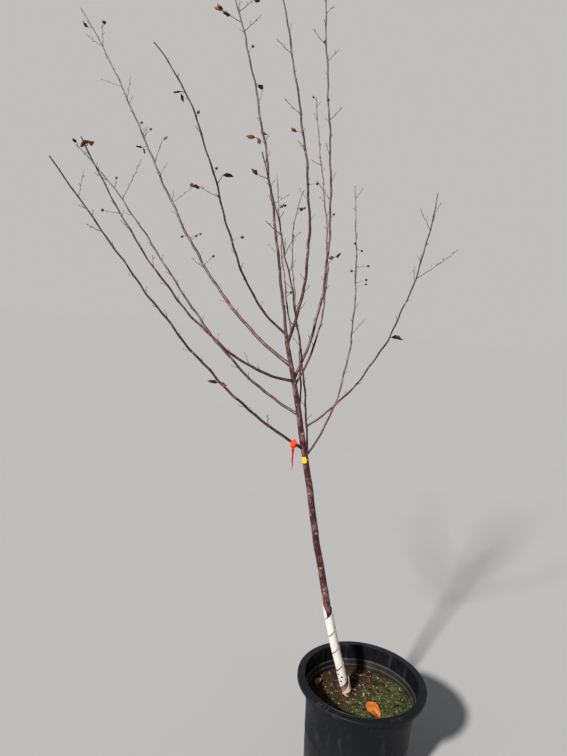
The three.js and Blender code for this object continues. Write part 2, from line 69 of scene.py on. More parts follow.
# Limbs, in the part's own millimetres and degrees.
# on and at: the limb that carries it, and how far along that one it leaves.
# shift: how far its root lies off that one's middle line. tip: the place of its tip.
# out and end: heading round the tree from +X and lift above the level, at its root and at its tip.
# width: across the root and across the tip. bough: where the bough ends and its twigs take over.
# A side twig has: how far along, heading, lift, length, and what it ends in.
LIMBS = [
    dict(name="leader_left", on="trunk", at=1, out=(139, 76), tip=(-883, 120, 3531),
         end=(174, 64), width=(13, 3.6), bough=0.4,
         twigs=[(0.33, 200, 40, 108, "leaves"), (0.338, 15, 30, 85, "bud"),
                (0.482, 170, 25, 48, "leaf"), (0.62, 10, 10, 14, "leaf"), (0.742, 15, 45, 98, "bud"),
                (0.762, 190, 19, 90, "leaves"), (0.788, 345, 31, 78, "leaf")]),
    dict(name="leader_middle", on="trunk", at=1, out=(325, 67), tip=(-610, -130, 3398),
         end=(198, 80), width=(13, 3.6), bough=0.4,
         twigs=[(0.26, 350, 52, 94, "bud"), (0.42, 10, 5, 34, "fruit"), (0.505, 190, 35, 38, "bud"),
                (0.54, 165, 10, 26, "leaf"), (0.58, 170, 36, 90, "bud")]),
    dict(name="leader_right", on="trunk", at=0.903, out=(41, 59), tip=(-411, 220, 3650),
         end=(77, 83), width=(12.5, 3.6), bough=0.4,
         twigs=[(0.232, 10, 55, 96, "bud"), (0.585, 345, 42, 73, "bud"), (0.705, 10, 46, 67, "bud"),
                (0.735, 170, 44, 92, "bud")]),
    dict(name="left_high", on="trunk", at=0.938, out=(153, 27), tip=(-1573, 600, 3394),
         end=(160, 51), width=(15, 3.8), bough=0.42,
         twigs=[(0.312, 330, 35, 62, "fruit"), (0.348, 195, 10, 115, "bud"),
                (0.378, 350, 30, 52, "fruit"), (0.384, 10, 20, 30, "fruit"),
                (0.392, 175, -20, 20, "fruit"), (0.478, 350, 33, 128, "leaf"),
                (0.548, 20, 60, 69, "bud"), (0.58, 340, 68, 113, "leaf"), (0.622, 185, -15, 24, "leaf"),
                (0.64, 20, 82, 62, "bud"), (0.648, 330, 30, 50, "fruit"), (0.682, 20, 5, 14, "fruit"),
                (0.745, 25, 83, 110, "bud"), (0.778, 170, 12, 115, "bud"), (0.885, 190, 25, 95, "bud"),
                (0.942, 200, -10, 20, "leaf")]),
    dict(name="left_mid", on="trunk", at=0.898, out=(214, 4), tip=(-1253, -190, 2585),
         end=(235, 54), width=(12, 4.2), bough=0.5,
         twigs=[(0.768, 190, 0, 62, "fruit"), (0.97, 20, 60, 30, "leaf")]),
    dict(name="left_under", on="trunk", at=0.806, out=(160, 20), tip=(-1487, 370, 2697),
         end=(169, 38), width=(12, 4), bough=0.5,
         twigs=[(0.79, 15, 66, 205, "bud"), (0.99, 180, 70, 26, "leaf")]),
    dict(name="left_low", on="trunk", at=0.712, out=(203, 27), tip=(-1243, -480, 2441),
         end=(221, 48), width=(12.5, 4), bough=0.5,
         twigs=[(0.87, 180, 15, 31, "bud"), (0.9, 20, 80, 84, "bud")]),
    dict(name="left_top", on="leader_left", at=0.021, out=(190, 33), tip=(-953, -390, 2842),
         end=(181, 44), width=(10, 4), bough=0.42,
         twigs=[(0.408, 340, 10, 40, "fruit"), (0.542, 170, 19, 83, "leaf"),
                (0.58, 350, 59, 40, "leaf"), (0.842, 190, 0, 18, "leaf")]),
    dict(name="back_right", on="trunk", at=0.885, out=(41, 53), tip=(-397, 560, 3055),
         end=(108, 73), width=(9, 3.4), bough=0.42,
         twigs=[(0.755, 190, 17, 55, "bud"), (0.985, 200, 40, 20, "fruit")]),
    dict(name="back_thin", on="leader_middle", at=0.03, out=(112, 56), tip=(-553, 370, 2634),
         end=(114, 70), width=(6.5, 3), bough=0.4,
         twigs=[(0.25, 20, 0, 20, "fruit"), (0.8, 10, 15, 24, "leaf")]),
    dict(name="back_middle", on="trunk", at=0.809, out=(85, 63), tip=(-420, 520, 2605),
         end=(60, 54), width=(7.5, 3.2), bough=0.42,
         twigs=[(0.7, 90, 35, 90, "fruit"), (0.86, 40, 40, 60, "leaf")]),
    dict(name="front_thin", on="trunk", at=0.7, out=(258, 66), tip=(-572, -480, 2504),
         end=(235, 58), width=(9, 3.4), bough=0.45, shift=(10, -6, 0),
         twigs=[(0.72, 300, 40, 70, "bud"), (0.93, 200, 10, 40, "leaf")]),
    dict(name="right_low", on="front_thin", at=0.117, out=(2, 36), tip=(38, -290, 2465),
         end=(293, 84), width=(8.5, 3.6), bough=0.5,
         twigs=[(0.715, 350, 35, 176, "bud"), (0.895, 10, 77, 39, "bud")]),
    dict(name="right_upright", on="trunk", at=0.69, out=(38, 45), tip=(-180, 470, 2635),
         end=(104, 72), width=(9, 3.6), bough=0.45,
         twigs=[(0.632, 345, 10, 46, "fruit"), (0.645, 10, 15, 50, "fruit"),
                (0.685, 175, 0, 16, "fruit"), (0.7, 5, 5, 54, "fruit"), (0.765, 20, -20, 26, "fruit"),
                (0.775, 250, 10, 22, "fruit")]),
]

# The trunk, from its flat cut on the soil to its fork
TRUNK_FOOT = (-54, 46, 340.35)
TRUNK_FORK = (-445, 30, 1884)
TRUNK_OUT = (180, 70.3)
TRUNK_END = (181, 74.8)
TRUNK_WIDTHS = ((0, 34), (0.25, 31), (0.68, 27), (0.84, 23), (1, 18))
TRUNK_FLARE = 3.6 * MM
TRUNK_FLARE_HEIGHT = 26 * MM
# Rings of its domed top: share of the last ring's radius, and height above it in millimetres
TRUNK_DOME = ((0.97, 5), (0.86, 10), (0.68, 14.5), (0.45, 18), (0.2, 20))
# Scars of shed twigs on it: how far up, angle round it, width across
TRUNK_SCARS = ((485, -93, 9), (499, -97, 7), (601, -87, 9), (690, 90, 8), (760, -61, 12),
               (820, -165, 9), (844, -121, 6), (870, -140, 6), (940, -106, 8), (980, 40, 7),
               (1046, -172, 6), (1134, -6, 9), (1164, -176, 9), (1203, -50, 12), (1290, 150, 7),
               (1330, -100, 6), (1420, -60, 5))

# Kinks across a limb: two waves one way and two the other way, by length and by size
KINK_LENGTHS = (87 * MM, 230 * MM, 104 * MM, 310 * MM)
KINK_SIZES = (0.6, 1.3, 0.6, 1.3)
# How much longer the trunk's kinks are than a limb's
TRUNK_PACE = 1.9
# How much a limb swells where it comes out of the bark of the one that carries it
FILLET = 0.22
# How far a limb that starts beside the trunk's middle runs back into the trunk
HEEL = 24 * MM

# The seeded rule for short spurs along a limb, the same as in the part's source
SPUR_SEED = 20260
SPUR_SEED_STEP = 101
SPUR_FIRST = 0.14
SPUR_LAST = 0.975
SPUR_SPACING = 66 * MM
SPUR_SPACING_SPREAD = (0.75, 1.25)
SPUR_TURN = 137.5
SPUR_TURN_SPREAD = 36
# Each kind of spur: the random numbers that draw it end here, its least length and its greatest
SPUR_KINDS = ((0.72, 14, 36), (0.94, 40, 84), (1, 90, 150))
SPUR_SHRINK = 0.7
SPUR_LEAVES = 0.05
SPUR_FRUITS = 0.04
# How far a spur points along its limb, away from it, and up
SPUR_LEAN = (0.65, 0.8, 0.2)
TWIG_THINNEST = 0.75
TWIG_WIDEST = 1.4
TWIG_TWIST = 70
TWIG_RISE = 0.2
# Room round the wood: spacing of the points that are tried, air between two twigs, and the bare
# stretch past a bough's end
TWIG_SPACING = 12 * MM
LIMB_SPACING = 6 * MM
CLEARANCE = 4 * MM
BORDER = 14 * MM
# On a bare bough only twigs shorter than this are kept
LONG_TWIG = 90 * MM

# The same rule one step finer, for shoots on a twig
SHOOT_FREE = 30 * MM
SHOOT_PLACES = (0.3, 0.92)
SHOOT_TURN_SPREAD = 0.4
SHOOT_LENGTHS = (7, 24)
SHOOT_SHRINK = 0.6
SHOOT_LEAN = (0.7, 0.75, 0.15)
SHOOT_WIDTH = 0.95

# Leaves that lie on the mix: x, y, heading, length, width and height above it in millimetres and
# degrees, how far the halves are folded, how far the length is curled, and the number of the finish
FALLEN_LEAVES = (
    (52, -70, 297, 92, 54, 12, 0.12, 0.35, 0),
    (-180, 86, 250, 48, 30, 12, 0.5, 0.8, 1),
    (96, 118, 40, 46, 25, 6, 0.45, 0.9, 2),
    (-120, -78, 300, 41, 24, 10, 0.3, 0.5, 2),
    (148, -32, 200, 43, 26, 7, 0.55, 0.7, 2),
    (10, 170, 100, 38, 22, 6, 0.35, 0.6, 1),
)

# The spiral guard round the foot of the trunk. Angles are in degrees round the trunk, counted on
# from turn to turn, and heights are along it.
GUARD_START = -130
GUARD_END = 1690
GUARD_STEP = 5.0
GUARD_ROWS = 40
GUARD_SEAM = 4.6 * MM
GUARD_SEAM_WAVE = 1.2 * MM
GUARD_FIRST_SEAM = 45 * MM
GUARD_FOOT = 7 * MM
# The loose end at the foot: a tongue that grows to the full width
GUARD_TONGUE = 6 * MM
GUARD_OPENING = 110
GUARD_LOOSE = 8 * MM
GUARD_LOOSE_FROM = -40
GUARD_LOOSE_ANGLE = 140
# The end at the top: cut off on a slope, and a little loose
GUARD_TIP = 440 * MM
GUARD_TIP_ANGLE = 1650
GUARD_TIP_SLOPE = 1.1 * MM
GUARD_END_LOOSE = 2.5 * MM
GUARD_END_ANGLE = 50
# Cells of the strip left out on each side of an air hole's middle, round the trunk and along it
HOLE_CELLS = (3, 2)
# Air holes in the guard: angle round the trunk, and height along it in millimetres
GUARD_HOLES = ((-137, 97), (-96, 81), (-51, 63), (-119, 63), (-154, 78))

# The pot's wall
LEDGE_STEP = 6 * MM
LEDGE_SLOPE = 2 * MM
LEDGES = (370 * MM, 348 * MM)
BAND_LOW = 190 * MM
BAND_HIGH = 200 * MM
SLOT_LOW = 14 * MM
SLOT_HIGH = 30 * MM
SLOT_WIDTH = 44 * MM
# Ribs from one drain slot to the next
SLOT_RIBS = 3
RIB_LOW = 374 * MM
RIB_HIGH = 434 * MM
RIB_PROUD = 4 * MM
RIB_WIDTH = 4 * MM
# Degrees round the rim, from +X: four moulded marks and the end of the mould's seam
LIP_MARKS = (-137, -134.2, -130.8, -127)
LIP_SEAM = -63

# The label: how far up the trunk, its wide plate's two ends and the whole band's turn in degrees
# round the trunk, and the width of its tail
TAG_ALONG = 0.6835
LABEL_START = -200
LABEL_EDGE = -70
LABEL_TURN = 372
LABEL_TAIL = 2 * MM
LABEL_THICKNESS = 0.7 * MM

# The marking tape: how far its knot is from the lowest left limb's root, and how far it stands off
TAPE_ALONG = 54 * MM
KNOT_FRONT = (-0.25, -1.0, 0.0)
KNOT_OFF = 7 * MM
KNOT_HALF_LENGTH = 16.5 * MM
KNOT_RADIUS = 9.5 * MM
# Gathered wraps round the limb: shift along it in millimetres, first angle, and turns
TAPE_WRAPS = ((-4, 0.2, 1.3), (5, 2.4, 1.2))
# Loops round the knot: lean in degrees, and first angle
TAPE_LOOPS = ((-26, 0.4), (32, 2.0), (5, 3.6))
LOOP_HEIGHT = 15.5 * MM
LOOP_DEPTH = 10.5 * MM
# Free ends, two short ones and two that hang: points from the knot's middle and widths, both in
# millimetres, turn of the cross line in degrees, and the number of the finish. Finish 1 darkens the
# two hanging tails as painted shade.
TAPE_ENDS = (
    (((0, 0, 4), (1, -3, 12), (3, -4, 19), (5, -3, 25)), (9, 12, 10, 3), 20, 0),
    (((2, 0, 0), (9, -2, 3), (15, -3, 4), (21, -2, 2)), (9, 11, 10, 7), -70, 0),
    (((0, -2, -8), (2, -5, -34), (0, -4, -62), (3, -2, -92), (1, -2, -110)), (11, 9, 8, 4, 2.5), 12, 1),
    (((-1, -3, -8), (-2, -7, -24), (1, -6, -44), (0, -4, -60)), (10, 9, 7, 4), -15, 1),
)
# How far pleats stand up from gathered tape
TAPE_PLEAT = 0.9 * MM
TAPE_THICKNESS = 0.35 * MM

# The camera stands at a person's eye height, looks down a little and is turned about its own axis
CAMERA_PLACE = (-0.448, -2.339, 2.011)
CAMERA_PITCH = math.radians(6.64)
CAMERA_ROLL = math.radians(4.57)
CAMERA_LENS = 27.05
SENSOR_WIDTH = 36
FLOOR_RADIUS = 60
FLOOR_SIDES = 96
# Direction that the main light comes from: front left, well above the tree's middle
KEY_FROM = (-0.504, -0.646, 0.574)
# Height on the unit sphere round the scene where the backdrop starts to turn into sky, and where
# all of it is sky
SKY_FROM = 0.62
SKY_FULL = 0.8

# Sockets of a colour mix node
MIX_SHARE = 0
MIX_FROM = 6
MIX_TO = 7


def linear(code):
    """An sRGB colour such as #5b3a3a as linear red, green and blue."""
    parts = [int(code[i:i + 2], 16) / 255 for i in (1, 3, 5)]
    return tuple(p / 12.92 if p <= 0.04045 else ((p + 0.055) / 1.055) ** 2.4 for p in parts)


def length(name, description, default):
    """A setting that is a length in metres."""
    return FloatProperty(name=name, description=description, default=default, min=0, precision=4,
                         unit="LENGTH")


def colour(name, description, code):
    """A setting that is a colour."""
    return FloatVectorProperty(name=name, description=description, default=linear(code), size=3,
                               min=0, max=1, subtype="COLOR")


def share(name, description, default):
    """A setting that is a share from 0 to 1."""
    return FloatProperty(name=name, description=description, default=default, min=0, max=1,
                         subtype="FACTOR")


def number(name, description, default):
    """A setting that is a whole number."""
    return IntProperty(name=name, description=description, default=default, min=0)


POT_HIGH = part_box("pot")[1]
SOIL_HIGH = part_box("root_ball")[1]


class PotSettings(PropertyGroup):
    """Sizes and finish of the pot."""

    height: length("Height", "From the ground to the top of the lip", POT_HIGH.z)
    rim_radius: length("Rim radius", "From the pot's middle to the outside of its lip", POT_HIGH.x)
    lip_width: length("Lip width", "Across the flat lip", 32.5 * MM)
    foot_radius: length("Foot radius", "Inside radius of the pot at the ground", 218 * MM)
    wall: length("Wall", "Thickness of the wall", 3 * MM)
    skirt: length("Skirt", "How far the lip is turned down", 18 * MM)
    floor: length("Floor", "Thickness of the floor", 5 * MM)
    ribs: number("Ribs", "Upright ribs inside the lip", 24)
    plastic: colour("Plastic", "Black moulded plastic", "#0c0e13")
    dust: colour("Dust", "Dust, splashed soil and pale ledge lines, partly painted highlight", "#7b7264")


class SoilSettings(PropertyGroup):
    """The potting mix that fills the pot."""

    level: length("Level", "Height of the mix above the ground", SOIL_HIGH.z)
    relief: length("Relief", "Height of the lumps in the mix", 5 * MM)
    chips: number("Chips", "Pieces of bark and wood on top", 1500)
    fibres: number("Fibres", "Dry stalks and root fibres on top", 110)
    humus: colour("Humus", "Dark damp mix", "#241b13")
    bark: colour("Bark chips", "Composted bark", "#402d20")
    wood: colour("Wood chips", "Pale splinters", "#8d7355")
    stalk: colour("Stalks", "Dry stalks and fibres", "#7a6248")
    moss: colour("Moss", "Green growth on damp mix", "#3b4723")


class BarkSettings(PropertyGroup):
    """The bark of the trunk and limbs."""

    collar: share("Collar", "How much wider a limb is where it leaves its parent", 0.3)
    relief: length("Relief", "Height of the wrinkles in the bark", 0.35 * MM)
    kink: length("Kinks", "How far a limb strays from an even curve", 1.8 * MM)
    trunk_kink: length("Trunk kinks", "How far the trunk strays from an even curve", 1.1 * MM)
    old: colour("Old bark", "Purple-brown bark of the trunk", "#341115")
    young: colour("Young bark", "Grey-brown bark of the last years' growth", "#332827")
    bloom: colour("Bloom", "Pale waxy bloom on the old bark", "#845b5a")
    silver_bloom_and_highlight: colour("Silvery bloom and painted highlight", "Silvery skin of the young wood, partly painted highlight", "#857d7f")
    dust: colour("Dust", "Dried splashes at the foot of the trunk", "#8a6f55")
    scar: colour("Scars", "Pale corky scars and pores", "#b0958c")


class TwigSettings(PropertyGroup):
    """Side twigs, spurs and buds."""

    width: length("Width", "Across the root of a twig", 3 * MM)
    tip_width: length("Tip width", "Across the tip of a twig", 1.5 * MM)
    fine_spacing: length("Fine spacing", "Between the finest shoots along a twig", 21 * MM)
    bud_spacing: length("Bud spacing", "Between buds along a twig", 15 * MM)
    bud_length: length("Bud length", "Length of a resting bud", 5.5 * MM)
    red: colour("Red twigs", "Last summer's sunny shoots", "#59322b")
    brown: colour("Brown twigs", "Older spurs", "#503c37")
    tan: colour("Tan twigs", "Dry shoots", "#7c6657")
    bud: colour("Buds", "Bud scales", "#47241f")


class LeafSettings(PropertyGroup):
    """Withered leaves that still hang on."""

    length: length("Length", "Length of a leaf", 42 * MM)
    width: length("Width", "Width of a leaf when flat", 28 * MM)
    fold: share("Fold", "How far the two halves are folded up", 0.62)
    russet: colour("Russet", "Withered leaf", "#572715")
    brown: colour("Brown", "Dead leaf", "#2c1a16")
    ochre: colour("Ochre", "Withered leaf in the sun", "#7b4322")
    orange: colour("Orange", "Freshly fallen leaf", "#9f571f")
    tan: colour("Tan", "Leaf that has lain for weeks", "#80583a")


class FruitSettings(PropertyGroup):
    """Small dark pomes left on the tree."""

    radius: length("Radius", "Radius of a fruit", 5.6 * MM)
    stalk: length("Stalk", "Thickness of a fruit's stalk", 1.1 * MM)
    skin: colour("Skin", "Dark skin", "#1b0c13")
    red: colour("Red skin", "Skin on the sunny side of the tree", "#360e16")
    calyx: colour("Calyx", "Dry calyx at the end of a fruit", "#3c281d")


class GuardSettings(PropertyGroup):
    """The spiral trunk guard."""

    pitch: length("Pitch", "Height of one turn", 83 * MM)
    radius: length("Radius", "Inside radius", 18.8 * MM)
    thickness: length("Thickness", "Thickness of the strip", 1.2 * MM)
    hole: length("Holes", "Width of an air hole", 9.5 * MM)
    plastic: colour("Plastic", "White soft plastic", "#bdb8b0")
    stain: colour("Stain", "Splashed soil near the ground", "#a08c74")


class TapeSettings(PropertyGroup):
    """The label and the marking tape."""

    label_height: length("Label height", "Height of the yellow label", 27 * MM)
    label: colour("Label", "Yellow label", "#c8a800")
    width: length("Tape width", "Width of the marking tape when flat", 25 * MM)
    tape: colour("Tape", "Orange marking tape", "#ec4204")
    # Painted shade: a darker copy of the tape for the two hanging tails, which hang in shade
    tape_painted_shade: colour("Tape in painted shade", "Painted shade on the hanging tails", "#a81c0c")


class StageSettings(PropertyGroup):
    """Floor and light."""

    floor: colour("Floor", "Plain pale floor", "#999795")
    horizon: colour("Horizon", "Backdrop behind the tree", "#c8c7c5")
    sky: colour("Sky", "Light from above", "#7f8a99")
    sky_strength: FloatProperty(name="Sky strength", description="Strength of the light all round",
                                default=0.8, min=0)
    key_strength: FloatProperty(name="Key strength", description="Strength of the main light",
                                default=6.2, min=0)
    key_angle: FloatProperty(name="Key width", description="How wide the main light looks",
                             default=math.radians(4), min=0, subtype="ANGLE")


def mix(a, b, t):
    """From a at t = 0 to b at t = 1."""
    return a + (b - a) * t


def eased(t):
    """0 below t = 0 and 1 above t = 1, with an even S between them."""
    t = np.clip(t, 0, 1)
    return t * t * (3 - 2 * t)


def joined(*parts):
    """Numbers or arrays side by side along a new last axis, such as X, Y and Z."""
    return np.stack(np.broadcast_arrays(*parts), -1)


def dot(a, b):
    """Scalar products of two arrays of vectors."""
    return np.sum(a * b, axis=-1, keepdims=True)


def unit(vectors):
    """Each vector divided by its length."""
    return vectors / np.maximum(np.linalg.norm(vectors, axis=-1, keepdims=True), 1e-12)


def heading(around, lift):
    """A unit vector from degrees round Z and degrees above the level."""
    around, lift = np.broadcast_arrays(np.radians(around), np.radians(lift))
    return joined(np.cos(lift) * np.cos(around), np.cos(lift) * np.sin(around), np.sin(lift))


def waves(points, wavelength, seed, count=10):
    """Smooth noise, mostly from -1 to 1: a sum of sine waves in random directions, each with about
    the same wavelength."""
    random = np.random.default_rng(seed)
    directions = unit(random.normal(size=(count, points.shape[-1])))
    rates = TURN / (wavelength * random.uniform(0.7, 1.4, count))
    phases = random.uniform(0, TURN, count)
    return np.sin(points @ (directions * rates[:, None]).T + phases).sum(-1) / math.sqrt(2 * count)


def carried_frames(tangents):
    """Two vectors square to each tangent of a batch of paths. The first one is level at the root and
    is handed on from point to point with as little twist as possible."""
    first = tangents[..., 0, :]
    level = joined(-first[..., 1], first[..., 0], 0)
    side = unit(np.where(np.linalg.norm(level, axis=-1, keepdims=True) < 0.01, [1.0, 0, 0], level))
    sides = []
    for tangent in np.moveaxis(tangents, -2, 0):
        side = unit(side - tangent * dot(side, tangent))
        sides.append(side)
    sides = np.stack(sides, -2)
    return sides, np.cross(tangents, sides)


def tubes(paths, radii, sides):
    """Rings round a batch of paths. A ring's point is the path's point plus the radius times the
    cosine of its angle along one cross direction and the sine along the other."""
    across, over = carried_frames(unit(np.gradient(paths, axis=-2)))
    angle = TURN * np.arange(sides) / sides
    spokes = (across[..., None, :] * np.cos(angle)[:, None]
              + over[..., None, :] * np.sin(angle)[:, None])
    if radii.ndim < paths.ndim:
        radii = radii[..., None]
    return paths[..., None, :] + radii[..., None] * spokes


def cells(shape, around):
    """Numbers of the points of a batch of grids, and the corners of each cell between them."""
    here = np.arange(np.prod(shape)).reshape(shape)
    if around:
        left, right = here, np.roll(here, -1, axis=2)
    else:
        left, right = here[..., :-1], here[..., 1:]
    return here, joined(left[:, :-1], right[:, :-1], right[:, 1:], left[:, 1:])


def block(points, faces, tint=0, **fields):
    """Points with their faces, the number of their finish, and values that go with each point."""
    points = points.reshape(-1, 3)
    fields = {key: value.reshape(len(points), -1) for key, value in fields.items()}
    return {"points": points, "faces": faces, "tint": tint, "fields": fields}


def closed_tubes(grid, tint=0, **fields):
    """A block from rings: cells between neighbouring rings, and one flat face over each end."""
    grid = grid.reshape((-1,) + grid.shape[-3:])
    here, corners = cells(grid.shape[:3], True)
    faces = [corners.reshape(-1, 4), here[:, 0, ::-1], here[:, -1, :]]
    if not np.isscalar(tint):
        per_tube = np.asarray(tint)
        tint = [np.repeat(per_tube, corners[0].size // 4), per_tube, per_tube]
    return block(grid, faces, tint, **fields)


def closed_sheets(upper, lower, keep=None, tint=0):
    """A block from sheets with two sides. Cells that aren't kept are holes, and every edge that has
    a cell on one side only gets a wall between the upper and the lower side. The upper side is the
    one from which a row's next point lies right when the next row lies ahead."""
    upper = upper.reshape((-1,) + upper.shape[-3:])
    corners = cells(upper.shape[:3], False)[1].reshape(-1, 4)
    owner = np.repeat(np.arange(len(upper)), len(corners) // len(upper))
    if keep is not None:
        corners, owner = corners[keep.ravel()], owner[keep.ravel()]
    used, corners = np.unique(corners, return_inverse=True)
    count, corners = len(used), corners.reshape(-1, 4)
    edges = np.concatenate([corners[:, [i, (i + 1) % 4]] for i in range(4)])
    edge_owner = np.tile(owner, 4)
    one_sided = ~np.isin(edges[:, 0] * count + edges[:, 1], edges[:, 1] * count + edges[:, 0])
    start, end = edges[one_sided].T
    walls = joined(start, start + count, end + count, end)
    faces = [corners, corners[:, ::-1] + count, walls]
    if not np.isscalar(tint):
        per_sheet = np.asarray(tint)
        tint = [per_sheet[owner], per_sheet[owner], per_sheet[edge_owner[one_sided]]]
    sides = [side.reshape(-1, 3)[used] for side in (upper, lower)]
    return block(np.concatenate(sides), faces, tint)


def add_object(name, data):
    """An object of the scene that shows a mesh, a light or a camera."""
    shown = bpy.data.objects.new(name, data)
    bpy.context.scene.collection.objects.link(shown)
    return shown


def put_piece(name, blocks, finishes, nodes=(), crease=45):
    """One mesh object from blocks, in place, riding on the frame. It stands for the given nodes."""
    starts = np.cumsum([0] + [len(b["points"]) for b in blocks])
    corners, counts, tints = [], [], []
    for start, part in zip(starts, blocks):
        for i, faces in enumerate(part["faces"]):
            tint = part["tint"] if np.isscalar(part["tint"]) else part["tint"][i]
            corners.append((faces + start).ravel())
            counts.append(np.full(len(faces), faces.shape[1]))
            tints.append(np.broadcast_to(tint, len(faces)))
    counts = np.concatenate(counts)
    corners = np.concatenate(corners)
    points = np.concatenate([part["points"] for part in blocks])
    mesh = bpy.data.meshes.new(name)
    mesh.vertices.add(len(points))
    mesh.vertices.foreach_set("co", points.astype(np.float32).ravel())
    mesh.loops.add(len(corners))
    mesh.loops.foreach_set("vertex_index", corners.astype(np.int32))
    mesh.polygons.add(len(counts))
    mesh.polygons.foreach_set("loop_start", (np.cumsum(counts) - counts).astype(np.int32))
    mesh.polygons.foreach_set("material_index", np.concatenate(tints).astype(np.int32))
    for key in blocks[0]["fields"]:
        values = np.concatenate([part["fields"][key] for part in blocks]).astype(np.float32)
        wide = values.shape[1] == 3
        attribute = mesh.attributes.new(key, "FLOAT_VECTOR" if wide else "FLOAT", "POINT")
        attribute.data.foreach_set("vector" if wide else "value", values.ravel())
    mesh.update(calc_edges=True)
    mesh.validate()
    mesh.shade_smooth()
    mesh.set_sharp_from_angle(angle=math.radians(crease))
    for finish in finishes:
        mesh.materials.append(finish)
    piece = add_object(name, mesh)
    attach(piece, "root")
    if nodes:
        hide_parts(*nodes)


def seeded(seed):
    """Repeatable numbers from 0 to 1, the same ones as the part's source draws."""
    state = seed & WORD

    def draw():
        nonlocal state
        state = (state + 0x6D2B79F5) & WORD
        value = ((state ^ (state >> 15)) * (state | 1)) & WORD
        value ^= (value + ((value ^ (value >> 7)) * (value | 61))) & WORD
        return ((value ^ (value >> 14)) & WORD) / 4294967296

    return draw


class Limb:
    """A limb on a cubic curve. It leaves its root along one direction and reaches its tip along
    another. Small kinks, which fade out at both ends, take it off the even curve."""

    def __init__(self, name, root, tip, row, kink, pace=1):
        out, end = heading(*row["out"]), heading(*row["end"])
        self.name = name
        handle = np.linalg.norm(tip - root) / 3
        self.knots = np.array([root, root + out * handle, tip - end * handle, tip])
        chord = unit(tip - root)
        self.across = unit(np.cross(chord, [0.31, 0.95, 0.0]))
        self.over = np.cross(self.across, chord)
        self.kink, self.pace = kink, pace
        even = self.even(np.linspace(0, 1, 201))
        self.length = np.linalg.norm(np.diff(even, axis=0), axis=1).sum()
        self.phases = np.random.default_rng(len(name) + int(1e4 * abs(tip[0]))).uniform(0, TURN, 4)

    def even(self, t):
        """Points of the cubic curve."""
        t = np.asarray(t, float)[..., None]
        a, b, c, d = self.knots
        return (1 - t) ** 3 * a + 3 * (1 - t) ** 2 * t * b + 3 * (1 - t) * t ** 2 * c + t ** 3 * d

    def place(self, t):
        """Points of the limb's middle line: the even curve and two waves each way across it."""
        along = np.asarray(t, float)[..., None] * self.length
        fade = np.sqrt(np.sin(np.pi * np.clip(along / self.length, 0, 1)))
        rates = TURN / np.array(KINK_LENGTHS) / self.pace
        sway = np.sin(along * rates + self.phases) * KINK_SIZES
        shift = self.across * sway[..., :2].sum(-1, keepdims=True)
        shift = shift + self.over * sway[..., 2:].sum(-1, keepdims=True)
        return self.even(t) + shift * fade * self.kink

    def tangent(self, t):
        """Directions of the even curve."""
        return unit(self.even(np.asarray(t) + 1e-4) - self.even(np.asarray(t) - 1e-4))


class Trunk(Limb):
    """The trunk, with its widths by a table and a small flare at the ground."""

    def __init__(self, kink):
        row = {"out": TRUNK_OUT, "end": TRUNK_END}
        foot, fork = np.array(TRUNK_FOOT) * MM, np.array(TRUNK_FORK) * MM
        super().__init__("trunk", foot, fork, row, kink, TRUNK_PACE)

    def radius(self, t):
        """Half the width by the table, plus a flare that dies away from the ground up."""
        places, widths = np.array(TRUNK_WIDTHS).T
        flare = TRUNK_FLARE * np.exp(-np.asarray(t) * self.length / TRUNK_FLARE_HEIGHT)
        return np.interp(t, places, widths) / 2 * MM + flare


class Bough(Limb):
    """A bough and the stem that carries it on to its tip: an even taper with a collar at its root."""

    def __init__(self, row, parent, collar, kink):
        root = parent.place(row["at"]) + np.array(row.get("shift", (0, 0, 0))) * MM
        super().__init__(row["name"], root, np.array(row["tip"]) * MM, row, kink)
        self.row = row
        self.root_width, self.tip_width = np.array(row["width"]) * MM
        self.collar = collar
        lean = np.linalg.norm(np.cross(self.tangent(1e-3), parent.tangent(row["at"] - 1e-3)))
        self.surface = min(parent.radius(row["at"]) / max(lean, 0.3), 30 * MM)

    def radius(self, t):
        """An even taper, wider by a collar that dies away from the root up and by a fillet where the
        limb meets the bark. Behind its root the limb thins out to a heel."""
        along = np.maximum(0, np.asarray(t) * self.length)
        fillet = FILLET * np.exp(-np.abs(along - self.surface) / (0.8 * self.root_width))
        collar = self.collar * np.exp(-along / self.root_width) + fillet
        even = mix(self.root_width, self.tip_width, along / self.length) / 2
        heel = 1 + np.minimum(0, np.asarray(t) * self.length) / (2 * HEEL)
        return (even + self.root_width / 2 * collar) * heel


def leaning(tangent, side, over, angle, lean):
    """A direction that points forward along a stem, outward from it at an angle round it, and up."""
    forward, outward, upward = lean
    across = side * math.cos(angle) + over * math.sin(angle)
    return unit(tangent * forward + across * outward + [0, 0, upward])


def make_twig(owner, at, start, direction, reach, ending, width, turn, rank=0):
    """A twig as named values. Its tip is lifted a little from its first direction."""
    lifted = unit(direction + np.array([0, 0, TWIG_RISE]))
    tip = start + (direction + lifted) * reach / 2
    return {"owner": owner, "at": at, "start": start, "direction": direction, "lifted": lifted,
            "tip": tip, "length": reach, "ending": ending, "width": width, "turn": turn, "rank": rank}


def named_twigs(limb, root_width):
    """The side twigs that a limb's row names."""
    found = []
    for at, around, lift, reach, ending in limb.row["twigs"]:
        width = min(root_width, limb.radius(at) * TWIG_WIDEST)
        found.append(make_twig(limb.name, at, limb.place(at), heading(around, lift), reach * MM, ending,
                               width, math.radians(around + TWIG_TWIST)))
    return found


def spur_ending(chance):
    """What a spur ends in, for a random number from 0 to 1."""
    if chance < SPUR_LEAVES:
        return "leaf"
    return "fruit" if chance < SPUR_LEAVES + SPUR_FRUITS else "bud"


